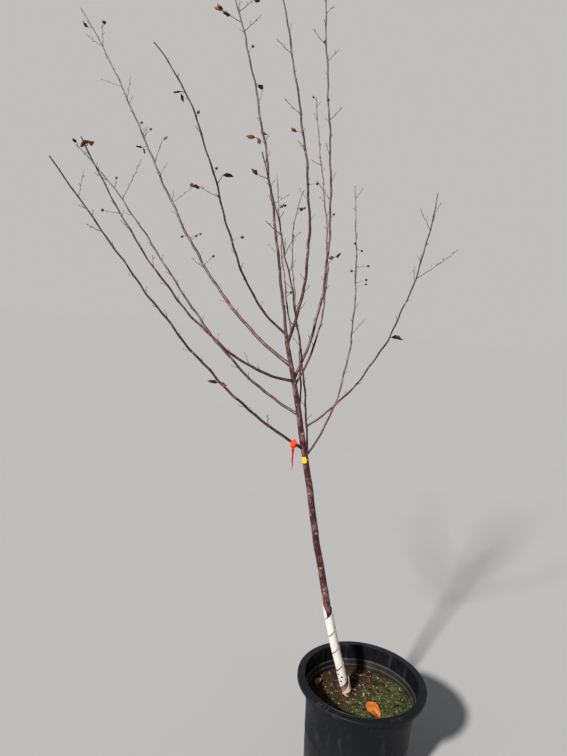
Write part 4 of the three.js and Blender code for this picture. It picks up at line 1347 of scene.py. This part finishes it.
def wound_strip(trunk, angle, height, radius, thickness, keep=None):
    """A strip wound round the trunk, from its inside radius at a grid of angles and heights."""
    angle = np.broadcast_to(angle, height.shape)
    inner = around_trunk(trunk, angle, height, radius)
    outer = around_trunk(trunk, angle, height, radius + thickness)
    return closed_sheets(inner, outer, keep)


def guard_edges(guard, angle):
    """Heights of the strip's lower and upper edge. Both rise evenly with the angle, the lower one
    never below the foot. The strip opens from a tongue, and its top end is cut off on a slope."""
    along = GUARD_FIRST_SEAM - guard.pitch + guard.pitch * (angle + 90) / 360
    seam = GUARD_SEAM + GUARD_SEAM_WAVE * waves(angle / 360, 0.7, 31)[:, None]
    low = np.maximum(along, GUARD_FOOT)
    opening = np.minimum(1, (angle - GUARD_START) / GUARD_OPENING)
    full = mix(low + GUARD_TONGUE, along + guard.pitch - seam, opening)
    cut = GUARD_TIP - GUARD_TIP_SLOPE * np.maximum(0, angle - GUARD_TIP_ANGLE)
    return low, np.maximum(low + GUARD_TONGUE, np.minimum(full, cut))


def guard_radius(guard, angle, height, low, high):
    """How far the strip is from the trunk's middle. Its loose ends stand off by distances that die
    away along the strip. Waves bulge it, mostly where it is loose, and its edges flare."""
    wound = np.maximum(0, angle - GUARD_LOOSE_FROM) / GUARD_LOOSE_ANGLE
    radius = guard.radius + GUARD_LOOSE * np.exp(-wound)
    radius = radius + GUARD_END_LOOSE * np.exp(-(GUARD_END - angle) / GUARD_END_ANGLE)
    places = joined(angle / 60, height / (50 * MM))
    bulge = 0.45 * MM * waves(places, 1.2, 32)
    upper_flare = np.exp(-(high - height) / (4 * MM))
    lower_flare = np.exp(-(height - low) / (3 * MM))
    flare = 0.6 * MM * (upper_flare - 0.4 * lower_flare)
    return radius + np.where(radius > guard.radius + 2 * MM, bulge, 0.3 * bulge) + flare


def cut_holes(guard, angle, height):
    """Round air holes. Each is a block of cells left out, with the points on the block's border
    moved straight out or in to the hole's rim. Gives the moved points and the cells that stay."""
    angle, height = angle.copy(), height.copy()
    keep = np.ones((1, len(angle) - 1, height.shape[1] - 1), bool)
    columns, rows = HOLE_CELLS
    border = np.ones((2 * columns + 1, 2 * rows + 1), bool)
    border[1:-1, 1:-1] = False
    for hole_angle, hole_height in GUARD_HOLES:
        sideways = np.radians((angle - hole_angle + 180) % 360 - 180) * guard.radius
        distance = np.hypot(sideways, height - hole_height * MM)
        column, row = np.unravel_index(np.argmin(distance), distance.shape)
        spots = np.s_[column - columns:column + columns + 1, row - rows:row + rows + 1]
        sideways = np.radians(angle[spots] - angle[column, row]) * guard.radius
        upward = height[spots] - height[column, row]
        pull = guard.hole / 2 / np.maximum(np.hypot(sideways, upward), 1e-9) - 1
        angle[spots] += np.degrees(border * pull * sideways / guard.radius)
        height[spots] += border * pull * upward
        keep[0, column - columns:column + columns, row - rows:row + rows] = False
    return angle, height, keep


def build_guard(guard):
    """The strip winds up the trunk with an even pitch, with air holes near its foot."""
    trunk = grown_tree()[0]["trunk"]
    angle = np.arange(GUARD_START, GUARD_END + 1, GUARD_STEP)[:, None]
    low, high = guard_edges(guard, angle)
    height = mix(low, high, np.linspace(0, 1, GUARD_ROWS))
    radius = guard_radius(guard, angle, height, low, high)
    angle, height, keep = cut_holes(guard, np.broadcast_to(angle, height.shape), height)
    strip = wound_strip(trunk, angle, height, radius, guard.thickness, keep)
    put_piece("spiral_guard", [strip], [soft_white_plastic(guard)], ["trunk_guard"], crease=40)


def build_label(tape):
    """A band whose wide plate covers the trunk's front left. The plate's half height is drawn in at
    its two ends to round its corners. The narrow tail runs round the back and over the start."""
    trunk = grown_tree()[0]["trunk"]
    whole = tape.label_height
    angle = np.linspace(LABEL_START, LABEL_START + LABEL_TURN, 150)[:, None]
    inward = np.clip(np.minimum(angle - LABEL_START, LABEL_EDGE - angle) / 11, 0, 1)
    plate = 0.5 * whole * np.sqrt(np.clip(1 - (1 - inward) ** 2.4, 0, 1))
    tail = np.where(angle > LABEL_EDGE - 8, LABEL_TAIL / 2, 0.25 * whole)
    half = np.maximum(plate, np.where(angle < LABEL_START + 10, 0.3 * whole, tail))
    height = TAG_ALONG * trunk.length + half * np.linspace(-1, 1, 15)
    radius = trunk.radius(height / trunk.length) + 0.65 * MM + 1.2 * MM * eased((angle - 120) / 30)
    strip = wound_strip(trunk, angle, height, radius, LABEL_THICKNESS)
    put_piece("label_band", [strip], [printed_plastic(tape)], ["tag_band"], crease=40)


def tape_strip(path, across, width, folds, rise, tint):
    """A strip of tape along a path. Its cross line is straight, plus pleats as a sine of the place
    across. Its other side lies a fixed distance off, along the surface's own normal."""
    u = np.linspace(-0.5, 0.5, 13)
    tangent = unit(np.gradient(path, axis=0))
    across = unit(across - tangent * dot(across, tangent))
    normal = np.cross(tangent, across)
    steps = np.arange(len(path))[:, None]
    pleats = np.sin(TURN * folds * u + 0.35 * np.sin(steps * 0.31) + steps * 0.05)
    rise = np.broadcast_to(rise, len(path))
    upper = (path[:, None] + across[:, None] * (width[:, None] * u)[..., None]
             + normal[:, None] * (rise[:, None] * pleats)[..., None])
    slope = unit(np.cross(np.gradient(upper, axis=1), np.gradient(upper, axis=0)))
    return closed_sheets(upper, upper - slope * TAPE_THICKNESS, tint=tint)


def tape_wrap(limb, at, shift, start, turns):
    """A gathered wrap: a ring round the limb that sways along it, a little wider as it goes on."""
    centre, tangent, radius = limb.place(at), limb.tangent(at), float(limb.radius(at))
    side = unit(np.cross(tangent, [0, 0, 1.0]))
    over = np.cross(side, tangent)
    t = np.linspace(0, 1, 60)
    angle = start + TURN * turns * t
    spread = radius + (1.6 + 1.4 * t) * MM
    path = centre + tangent * ((shift + 5 * np.sin(angle)) * MM)[:, None]
    path = path + spread[:, None] * (side * np.cos(angle)[:, None] + over * np.sin(angle)[:, None])
    width = 14 * MM + 3 * MM * np.sin(angle * 2)
    return tape_strip(path, tangent, width, 3, TAPE_PLEAT, 0)


def knot_lump(knot):
    """The knot's body: rings up a leaning line, drawn in at the waist, with ridges as waves."""
    rows, sides = np.linspace(-1, 1, 28), 40
    line = knot + np.array([0.1, 0, 1.0]) * (rows * KNOT_HALF_LENGTH)[:, None]
    girth = KNOT_RADIUS * np.sqrt(np.clip(1.02 - rows ** 2, 0, 1))
    girth = girth * (1 - 0.25 * np.exp(-(rows / 0.25) ** 2))
    angle = TURN * np.arange(sides) / sides
    spots = joined(np.cos(angle), np.sin(angle), rows[:, None])
    ridges = 1 + 0.24 * waves(spots, 0.75, 41)
    return closed_tubes(tubes(line, girth[:, None] * ridges, sides))


def knot_loop(knot, lean, start):
    """A loop of tape over the knot: a little more than one turn of an ellipse that opens out."""
    t = np.linspace(0, 1, 70)
    angle = start + TURN * 1.05 * t
    swing = np.radians(lean)
    long_way = np.array([math.sin(swing), 0, math.cos(swing)])
    short_way = np.array([math.cos(swing), 0, -math.sin(swing)])
    spread = (1 + 0.08 * t)[:, None]
    path = knot + long_way * np.cos(angle)[:, None] * LOOP_HEIGHT * spread
    path = path + np.array([0, -1.0, 0]) * np.sin(angle)[:, None] * LOOP_DEPTH * spread
    width = (10.5 + 2.5 * np.sin(2 * angle)) * MM
    return tape_strip(path, short_way, width, 2.5, TAPE_PLEAT, 0)


def tape_end(knot, points, widths, turn, tint):
    """A free end of the tape. Straight lines between its points are smoothed by a running mean, and
    its cross line twists to and fro."""
    points = np.array(points, float) * MM
    knots = np.arange(len(points))
    t = np.linspace(0, len(points) - 1, 60)
    path = knot + joined(*(np.interp(t, knots, values) for values in points.T))
    reach = 7
    weights = np.hanning(2 * reach + 3)[1:-1]
    weights /= weights.sum()
    padded = np.pad(path, ((reach, reach), (0, 0)), "edge")
    path = joined(*(np.convolve(values, weights, "valid") for values in padded.T))
    twist = np.radians(turn + 30 * np.sin(t * 1.4 + turn))
    across = joined(np.cos(twist), np.sin(twist), 0.1 * np.sin(t))
    width = np.interp(t, knots, np.array(widths, float)) * MM
    return tape_strip(path, across, width, 1.5, width * 0.12, tint)


def build_tape(tape):
    """Marking tape tied round the lowest limb on the left: two gathered wraps, a knot of a lump and
    three loops, two short ends that stand up and two narrow tails that hang down."""
    limb = grown_tree()[0]["left_low"]
    at = TAPE_ALONG / limb.length
    knot = limb.place(at) + unit(np.array(KNOT_FRONT)) * (float(limb.radius(at)) + KNOT_OFF)
    blocks = [knot_lump(knot)]
    blocks += [tape_wrap(limb, at, *wrap) for wrap in TAPE_WRAPS]
    blocks += [tape_end(knot, *end) for end in TAPE_ENDS]
    blocks += [knot_loop(knot, *loop) for loop in TAPE_LOOPS]
    # The second finish is the tape's painted shade, used on the hanging tails
    finishes = [tape_film("orange marking tape", tape.tape),
                tape_film("orange tape in painted shade", tape.tape_painted_shade)]
    put_piece("marking_tape", blocks, finishes, ["flag_ribbon"], crease=50)


def add(tree, kind, inputs=(), **settings):
    """A node with its settings and its inputs. An input is a value, another node's socket, or
    another node, which gives the first of its outputs that is in use."""
    node = tree.nodes.new(kind)
    for key, value in settings.items():
        setattr(node, key, value)
    for socket, value in dict(inputs).items():
        if isinstance(value, bpy.types.Node):
            value = next(output for output in value.outputs if output.enabled)
        if isinstance(value, bpy.types.NodeSocket):
            tree.links.new(value, node.inputs[socket])
        else:
            node.inputs[socket].default_value = value
    return node


def new_finish(name):
    """An empty material, its node tree, and the socket of the places that its patterns read."""
    material = bpy.data.materials.new(name)
    material.use_nodes = True
    tree = material.node_tree
    tree.nodes.clear()
    return material, tree, add(tree, "ShaderNodeTexCoord").outputs["Object"]


def finished(material, surface):
    """The material, with its surface on the output."""
    add(material.node_tree, "ShaderNodeOutputMaterial", {"Surface": surface})
    return material


def rgba(tone):
    """A colour with full alpha."""
    return (*tone[:3], 1.0)


def shade(tone, factor):
    """A colour made darker or lighter."""
    return rgba([min(1.0, part * factor) for part in tone[:3]])


def moulded_polyethylene(pot):
    """Black moulded polyethylene with a satin face, dried dust and splashes low on the wall."""
    grain_size = 1.1111 * MM
    smear_size = 45.4545 * MM
    material, tree, place = new_finish("moulded black polyethylene")
    height = add(tree, "ShaderNodeSeparateXYZ", {"Vector": place}).outputs["Z"]
    fine = add(tree, "ShaderNodeTexNoise", {"Vector": place, "Scale": 1 / grain_size, "Detail": 3})
    streaky = add(tree, "ShaderNodeMapping", {"Vector": place, "Scale": (1, 1, 0.3)})
    smears = add(tree, "ShaderNodeTexNoise", {
        "Vector": streaky, "Scale": 1 / smear_size, "Detail": 8, "Roughness": 0.65})
    splash = add(tree, "ShaderNodeMapRange", {
        "Value": height, "From Min": 0.13, "From Max": 0, "To Max": 0.5})
    low = add(tree, "ShaderNodeMath", {0: smears, 1: splash}, operation="MULTIPLY")
    grime = add(tree, "ShaderNodeMapRange", {
        "Value": smears, "From Min": 0.54, "From Max": 0.8, "To Max": 0.16})
    # The dust field holds the pale ledge lines, partly dust and partly painted highlight, and the moulded
    # marks on the lip
    lines = add(tree, "ShaderNodeAttribute", attribute_name="dust").outputs["Fac"]
    ledge_lines_and_grime = add(tree, "ShaderNodeMath", {0: lines, 1: smears, 2: grime}, operation="MULTIPLY_ADD")
    dirt = add(tree, "ShaderNodeMath", {0: ledge_lines_and_grime, 1: low}, operation="ADD", use_clamp=True)
    tone = add(tree, "ShaderNodeMix", {
        MIX_SHARE: dirt, MIX_FROM: rgba(pot.plastic), MIX_TO: rgba(pot.dust)}, data_type="RGBA")
    rough = add(tree, "ShaderNodeMapRange", {
        "Value": smears, "From Min": 0.3, "From Max": 0.7, "To Min": 0.38, "To Max": 0.6})
    bump = add(tree, "ShaderNodeBump", {"Height": fine, "Distance": 0.15 * MM, "Strength": 0.5})
    return finished(material, add(tree, "ShaderNodeBsdfPrincipled", {
        "Base Color": tone, "Roughness": rough, "Specular IOR Level": 0.32, "Normal": bump}))


def damp_potting_mix(soil):
    """Damp potting mix: humus between paler crumbs, with a thin green growth in a few places."""
    crumb_size = 3.8462 * MM
    lump_size = 8.3333 * MM
    patch_size = 41.6667 * MM
    material, tree, place = new_finish("damp potting mix")
    crumbs = add(tree, "ShaderNodeTexVoronoi", {
        "Vector": place, "Scale": 1 / crumb_size, "Randomness": 1})
    lumps = add(tree, "ShaderNodeTexNoise", {
        "Vector": place, "Scale": 1 / lump_size, "Detail": 6, "Roughness": 0.7})
    patches = add(tree, "ShaderNodeTexNoise", {
        "Vector": place, "Scale": 1 / patch_size, "Detail": 6, "Roughness": 0.65})
    apart = add(tree, "ShaderNodeSeparateXYZ", {"Vector": place}).outputs
    sideways = add(tree, "ShaderNodeMath", {0: apart["X"], 1: apart["Y"]}, operation="SUBTRACT")
    damp = add(tree, "ShaderNodeMapRange", {
        "Value": sideways, "From Min": -0.25, "From Max": 0.08, "To Min": -0.2, "To Max": 0.1})
    spread = add(tree, "ShaderNodeMath", {0: patches, 1: damp}, operation="ADD")
    tone = add(tree, "ShaderNodeMix", {
        MIX_SHARE: lumps, MIX_FROM: shade(soil.humus, 0.6), MIX_TO: rgba(soil.bark)}, data_type="RGBA")
    growth = add(tree, "ShaderNodeMapRange", {
        "Value": spread, "From Min": 0.46, "From Max": 0.56, "To Max": 0.9})
    # Painted light and shade on the moss: darkened to 0.3 in the hollows of the lumps, painted shade
    # between tufts, and lightened to 2.1 on their tops, over a real spread of darker and paler greens
    tuft_light_and_shade = add(tree, "ShaderNodeMapRange", {"Value": lumps, "From Min": 0.38, "From Max": 0.62})
    moss = add(tree, "ShaderNodeMix", {
        MIX_SHARE: tuft_light_and_shade, MIX_FROM: shade(soil.moss, 0.3), MIX_TO: shade(soil.moss, 2.1)},
        data_type="RGBA")
    green = add(tree, "ShaderNodeMix", {MIX_SHARE: growth, MIX_FROM: tone, MIX_TO: moss},
                data_type="RGBA")
    rise = add(tree, "ShaderNodeBump", {"Height": crumbs, "Distance": 2 * MM, "Strength": 0.8})
    rough = add(tree, "ShaderNodeBump", {
        "Height": lumps, "Distance": 3 * MM, "Strength": 0.7, "Normal": rise})
    return finished(material, add(tree, "ShaderNodeBsdfPrincipled", {
        "Base Color": green, "Roughness": 0.94, "Specular IOR Level": 0.25, "Normal": rough}))


def matt_scraps(name, tone):
    """Small dry plant scraps, each a little lighter or darker than the next."""
    scrap_size = 13.3333 * MM
    grain_size = 1.4286 * MM
    material, tree, place = new_finish(name)
    broad = add(tree, "ShaderNodeTexNoise", {"Vector": place, "Scale": 1 / scrap_size, "Detail": 2})
    fine = add(tree, "ShaderNodeTexNoise", {"Vector": place, "Scale": 1 / grain_size, "Detail": 4})
    varied = add(tree, "ShaderNodeMix", {
        MIX_SHARE: broad, MIX_FROM: shade(tone, 0.4), MIX_TO: shade(tone, 1.6)}, data_type="RGBA")
    bump = add(tree, "ShaderNodeBump", {"Height": fine, "Distance": 0.6 * MM, "Strength": 0.7})
    return finished(material, add(tree, "ShaderNodeBsdfPrincipled", {
        "Base Color": varied, "Roughness": 0.9, "Specular IOR Level": 0.3, "Normal": bump}))


def thin_fruitwood_bark(bark):
    """Thin purple-brown fruitwood bark. Patches of a waxy bloom lie over it; on the young wood they turn
    silvery, partly a painted highlight of the sunlit side. Scars and pores are corky. Fine wrinkles run
    along the limb with painted shade in their grooves, and dust lies on its foot."""
    wrinkle_size = 1.1111 * MM
    patch_size = 10.5263 * MM
    fleck_size = 3.8462 * MM
    drift_size = 47.619 * MM
    material, tree, place = new_finish("thin fruitwood bark")
    grain = add(tree, "ShaderNodeAttribute", attribute_name="grain").outputs["Vector"]
    age, pores, scar = (add(tree, "ShaderNodeAttribute", attribute_name=name).outputs["Fac"]
                        for name in ("age", "pores", "scar"))
    long_grain, short_grain, cross_grain = (
        add(tree, "ShaderNodeMapping", {"Vector": grain, "Scale": (1, 1, squeeze)})
        for squeeze in (0.12, 0.45, 2.2))
    wrinkles = add(tree, "ShaderNodeTexNoise", {
        "Vector": long_grain, "Scale": 1 / wrinkle_size, "Detail": 5, "Roughness": 0.6})
    patches = add(tree, "ShaderNodeTexNoise", {
        "Vector": short_grain, "Scale": 1 / patch_size, "Detail": 6, "Roughness": 0.68})
    flecks = add(tree, "ShaderNodeTexNoise", {
        "Vector": cross_grain, "Scale": 1 / fleck_size, "Detail": 2})
    broad = add(tree, "ShaderNodeTexNoise", {
        "Vector": grain, "Scale": 1 / drift_size, "Detail": 3, "Roughness": 0.6})
    drift = add(tree, "ShaderNodeMapRange", {
        "Value": broad, "From Min": 0.38, "From Max": 0.62, "To Min": -0.11, "To Max": 0.12})
    drifted = add(tree, "ShaderNodeMath", {0: patches, 1: drift}, operation="ADD")
    aged = add(tree, "ShaderNodeMix", {
        MIX_SHARE: age, MIX_FROM: rgba(bark.old), MIX_TO: rgba(bark.young)}, data_type="RGBA")
    bloom = add(tree, "ShaderNodeMapRange", {
        "Value": drifted, "From Min": 0.45, "From Max": 0.7, "To Max": 0.72})
    # On the young wood the bloom turns silvery: partly the bloom itself and partly a painted highlight of
    # the sunlit side
    bloom_and_highlight = add(tree, "ShaderNodeMix", {
        MIX_SHARE: age, MIX_FROM: rgba(bark.bloom), MIX_TO: rgba(bark.silver_bloom_and_highlight)}, data_type="RGBA")
    bloomed = add(tree, "ShaderNodeMix", {MIX_SHARE: bloom, MIX_FROM: aged, MIX_TO: bloom_and_highlight},
                  data_type="RGBA")
    # Painted shade: the colour is darkened where the wrinkles are low, in the grooves of the bump
    dark = add(tree, "ShaderNodeMapRange", {
        "Value": wrinkles, "From Min": 0.35, "From Max": 0.5, "To Min": 0.62})
    groove_shaded = add(tree, "ShaderNodeMix", {MIX_SHARE: 1, MIX_FROM: bloomed, MIX_TO: dark},
                data_type="RGBA", blend_type="MULTIPLY")
    corky = add(tree, "ShaderNodeMapRange", {
        "Value": flecks, "From Min": 0.66, "From Max": 0.75, "To Max": 0.55})
    marks = add(tree, "ShaderNodeMath", {0: pores, 1: 0.3, 2: scar},
                operation="MULTIPLY_ADD", use_clamp=True)
    pale = add(tree, "ShaderNodeMath", {0: marks, 1: corky}, operation="MAXIMUM")
    marked = add(tree, "ShaderNodeMix", {MIX_SHARE: pale, MIX_FROM: groove_shaded, MIX_TO: rgba(bark.scar)},
                 data_type="RGBA")
    height = add(tree, "ShaderNodeSeparateXYZ", {"Vector": place}).outputs["Z"]
    low = add(tree, "ShaderNodeMapRange", {
        "Value": height, "From Min": 0.385, "From Max": 0.35, "To Max": 0.85})
    dusty = add(tree, "ShaderNodeMix", {MIX_SHARE: low, MIX_FROM: marked, MIX_TO: rgba(bark.dust)},
                data_type="RGBA")
    bump = add(tree, "ShaderNodeBump", {"Height": wrinkles, "Distance": 0.4 * MM, "Strength": 0.6})
    satin = add(tree, "ShaderNodeMapRange", {
        "Value": patches, "From Min": 0.35, "From Max": 0.65, "To Min": 0.4, "To Max": 0.6})
    return finished(material, add(tree, "ShaderNodeBsdfPrincipled", {
        "Base Color": dusty, "Roughness": satin, "Specular IOR Level": 0.5, "Normal": bump}))


def fine_skin(name, tone, roughness, low, high, patch_size, coat=0.0, gloss=0.5):
    """A smooth skin whose colour goes a little down and up in patches of the given size."""
    grain_size = 0.6667 * MM
    material, tree, place = new_finish(name)
    broad = add(tree, "ShaderNodeTexNoise", {
        "Vector": place, "Scale": 1 / patch_size, "Detail": 4, "Roughness": 0.6})
    fine = add(tree, "ShaderNodeTexNoise", {"Vector": place, "Scale": 1 / grain_size, "Detail": 2})
    varied = add(tree, "ShaderNodeMix", {
        MIX_SHARE: broad, MIX_FROM: shade(tone, low), MIX_TO: shade(tone, high)}, data_type="RGBA")
    bump = add(tree, "ShaderNodeBump", {"Height": fine, "Distance": 0.2 * MM, "Strength": 0.5})
    return finished(material, add(tree, "ShaderNodeBsdfPrincipled", {
        "Base Color": varied, "Roughness": roughness, "Coat Weight": coat, "Coat Roughness": 0.25,
        "Specular IOR Level": gloss, "Normal": bump}))


def smooth_shoot(name, tone):
    """Thin smooth bark of last year's shoots."""
    return fine_skin(name, tone, 0.55, 0.6, 1.35, 22.2222 * MM)


def bud_scales(twigs):
    """Dark, slightly resinous bud scales."""
    return fine_skin("bud scales", twigs.bud, 0.45, 0.5, 1.6, 6.25 * MM)


def withered_leaf(name, tone):
    """A dry leaf: blotched and matt."""
    return fine_skin(name, tone, 0.78, 0.35, 1.7, 6.6667 * MM)


def waxy_skin(name, tone):
    """Fruit skin with a thin wax coat."""
    return fine_skin(name, tone, 0.36, 0.5, 1.5, 5.2632 * MM, coat=0.35)


def soft_white_plastic(guard):
    """Soft white plastic sheet, dusty, with splashed soil near the ground."""
    smear_size = 18.1818 * MM
    scatter = 4 * MM
    material, tree, place = new_finish("soft white plastic")
    height = add(tree, "ShaderNodeSeparateXYZ", {"Vector": place}).outputs["Z"]
    smears = add(tree, "ShaderNodeTexNoise", {
        "Vector": place, "Scale": 1 / smear_size, "Detail": 6, "Roughness": 0.6})
    near = add(tree, "ShaderNodeMapRange", {"Value": height, "From Min": 0.43, "From Max": 0.34})
    splash = add(tree, "ShaderNodeMath", {0: near, 1: smears}, operation="MULTIPLY", use_clamp=True)
    tone = add(tree, "ShaderNodeMix", {
        MIX_SHARE: splash, MIX_FROM: rgba(guard.plastic), MIX_TO: rgba(guard.stain)}, data_type="RGBA")
    bump = add(tree, "ShaderNodeBump", {"Height": smears, "Distance": 0.6 * MM, "Strength": 0.3})
    return finished(material, add(tree, "ShaderNodeBsdfPrincipled", {
        "Base Color": tone, "Roughness": 0.42, "Subsurface Weight": 0.15,
        "Subsurface Radius": (scatter, scatter, scatter), "Normal": bump}))


def printed_plastic(tape):
    """Smooth bright yellow label plastic."""
    return fine_skin("smooth yellow plastic", tape.label, 0.4, 0.88, 1.05, 16.6667 * MM)


def tape_film(name, tone):
    """Thin vinyl film with a soft gloss."""
    return fine_skin(name, tone, 0.42, 0.75, 1.12, 14.2857 * MM)


def pale_plaster(stage):
    """Plain matt floor."""
    return fine_skin("pale matt floor", stage.floor, 0.95, 0.985, 1.015, 500 * MM, gloss=0.0)


def build_floor(stage):
    """A wide pale floor: one flat polygon whose corners lie on a circle."""
    angle = TURN * np.arange(FLOOR_SIDES) / FLOOR_SIDES
    rim = joined(np.cos(angle), np.sin(angle), 0) * FLOOR_RADIUS
    mesh = bpy.data.meshes.new("floor")
    mesh.from_pydata(rim.tolist(), [], [list(range(FLOOR_SIDES))])
    mesh.materials.append(pale_plaster(stage))
    floor = add_object("floor", mesh)


def build_sky(stage):
    """Soft light from all round: a pale backdrop that turns into sky high up."""
    world = bpy.data.worlds.new("studio")
    bpy.context.scene.world = world
    world.use_nodes = True
    tree = world.node_tree
    tree.nodes.clear()
    place = add(tree, "ShaderNodeTexCoord").outputs["Generated"]
    upward = add(tree, "ShaderNodeSeparateXYZ", {"Vector": place}).outputs["Z"]
    height = add(tree, "ShaderNodeMapRange", {
        "Value": upward, "From Min": SKY_FROM, "From Max": SKY_FULL})
    tone = add(tree, "ShaderNodeMix", {
        MIX_SHARE: height, MIX_FROM: rgba(stage.horizon), MIX_TO: rgba(stage.sky)}, data_type="RGBA")
    sky = add(tree, "ShaderNodeBackground", {"Color": tone, "Strength": stage.sky_strength})
    add(tree, "ShaderNodeOutputWorld", {"Surface": sky})


def build_key(stage):
    """A soft key light from the front left."""
    light = bpy.data.lights.new("key", "SUN")
    light.energy = stage.key_strength
    light.angle = stage.key_angle
    lamp = add_object("key", light)
    lamp.rotation_euler = (-Vector(KEY_FROM)).to_track_quat("-Z", "Y").to_euler()


def build_camera():
    """The camera at the height of a standing person, tilted down and rolled."""
    across = Vector((1, 0, 0))
    forward = Vector((0, math.cos(CAMERA_PITCH), -math.sin(CAMERA_PITCH)))
    upright = Vector((0, math.sin(CAMERA_PITCH), math.cos(CAMERA_PITCH)))
    right = across * math.cos(CAMERA_ROLL) + upright * math.sin(CAMERA_ROLL)
    over = upright * math.cos(CAMERA_ROLL) - across * math.sin(CAMERA_ROLL)
    scene = bpy.context.scene
    scene.view_settings.view_transform = "Standard"
    scene.view_settings.look = "Medium High Contrast"
    camera = add_object("camera", bpy.data.cameras.new("camera"))
    camera.data.lens = CAMERA_LENS
    camera.data.sensor_width = SENSOR_WIDTH
    camera.matrix_world = Matrix((right, over, -forward)).transposed().to_4x4()
    camera.location = CAMERA_PLACE
    scene.camera = camera


def build_stage(stage):
    """Floor, light from all round, key light and camera."""
    build_floor(stage)
    build_sky(stage)
    build_key(stage)
    build_camera()


class SaplingPot(Operator):
    """Add the nursery pot."""

    bl_idname = "sapling.pot"
    bl_label = "Nursery Pot"

    def execute(self, context):
        build_pot(context.scene.sapling_pot)
        return {"FINISHED"}


class SaplingMix(Operator):
    """Add the potting mix, the chips and the fallen leaves on it."""

    bl_idname = "sapling.mix"
    bl_label = "Potting Mix"

    def execute(self, context):
        scene = context.scene
        build_soil(scene.sapling_soil, scene.sapling_pot)
        build_chips(scene.sapling_soil, scene.sapling_pot)
        build_fallen_leaves(scene.sapling_leaves, scene.sapling_soil)
        return {"FINISHED"}


class SaplingBark(Operator):
    """Add the trunk and the limbs with their bark."""

    bl_idname = "sapling.bark"
    bl_label = "Trunk and Limbs"

    def execute(self, context):
        build_bark(context.scene.sapling_bark)
        return {"FINISHED"}


class SaplingTwigs(Operator):
    """Add the twigs and their buds."""

    bl_idname = "sapling.twigs"
    bl_label = "Twigs and Buds"

    def execute(self, context):
        build_twigs(context.scene.sapling_twigs, context.scene.sapling_fruit)
        build_buds(context.scene.sapling_twigs)
        return {"FINISHED"}


class SaplingLeaves(Operator):
    """Add the withered leaves."""

    bl_idname = "sapling.leaves"
    bl_label = "Withered Leaves"

    def execute(self, context):
        build_leaves(context.scene.sapling_leaves)
        return {"FINISHED"}


class SaplingFruit(Operator):
    """Add the small dark fruit."""

    bl_idname = "sapling.fruit"
    bl_label = "Fruit"

    def execute(self, context):
        build_fruit(context.scene.sapling_fruit)
        return {"FINISHED"}


class SaplingGuard(Operator):
    """Add the spiral guard."""

    bl_idname = "sapling.guard"
    bl_label = "Spiral Guard"

    def execute(self, context):
        build_guard(context.scene.sapling_guard)
        return {"FINISHED"}


class SaplingMarkers(Operator):
    """Add the label band and the marking tape."""

    bl_idname = "sapling.markers"
    bl_label = "Label and Tape"

    def execute(self, context):
        build_label(context.scene.sapling_tape)
        build_tape(context.scene.sapling_tape)
        return {"FINISHED"}


class SaplingStage(Operator):
    """Add the floor, the lights and the camera."""

    bl_idname = "sapling.stage"
    bl_label = "Floor, Light and Camera"

    def execute(self, context):
        build_stage(context.scene.sapling_stage)
        return {"FINISHED"}


PIECES = (SaplingPot, SaplingMix, SaplingBark, SaplingTwigs, SaplingLeaves, SaplingFruit, SaplingGuard,
          SaplingMarkers, SaplingStage)
SETTINGS = {"sapling_pot": PotSettings, "sapling_soil": SoilSettings, "sapling_bark": BarkSettings,
            "sapling_twigs": TwigSettings, "sapling_leaves": LeafSettings, "sapling_fruit": FruitSettings,
            "sapling_guard": GuardSettings, "sapling_tape": TapeSettings, "sapling_stage": StageSettings}


class SaplingPanel(Panel):
    """Lists every piece of the sapling and its settings."""

    bl_idname = "VIEW3D_PT_sapling"
    bl_label = "Potted Sapling"
    bl_space_type = "VIEW_3D"
    bl_region_type = "UI"
    bl_category = "Sapling"

    def draw(self, context):
        for piece in PIECES:
            self.layout.operator(piece.bl_idname)
        for key, settings in SETTINGS.items():
            box = self.layout.box()
            for name in settings.__annotations__:
                box.prop(getattr(context.scene, key), name)


def register():
    for settings in SETTINGS.values():
        bpy.utils.register_class(settings)
    for key, settings in SETTINGS.items():
        setattr(bpy.types.Scene, key, PointerProperty(type=settings))
    for kind in (*PIECES, SaplingPanel):
        bpy.utils.register_class(kind)


def unregister():
    for kind in (SaplingPanel, *reversed(PIECES)):
        bpy.utils.unregister_class(kind)
    for key, settings in reversed(SETTINGS.items()):
        delattr(bpy.types.Scene, key)
        bpy.utils.unregister_class(settings)


def main():
    """Build every piece in order."""
    register()
    bpy.ops.sapling.pot()
    bpy.ops.sapling.mix()
    bpy.ops.sapling.bark()
    bpy.ops.sapling.twigs()
    bpy.ops.sapling.leaves()
    bpy.ops.sapling.fruit()
    bpy.ops.sapling.guard()
    bpy.ops.sapling.markers()
    bpy.ops.sapling.stage()


if __name__ == "__main__":
    main()
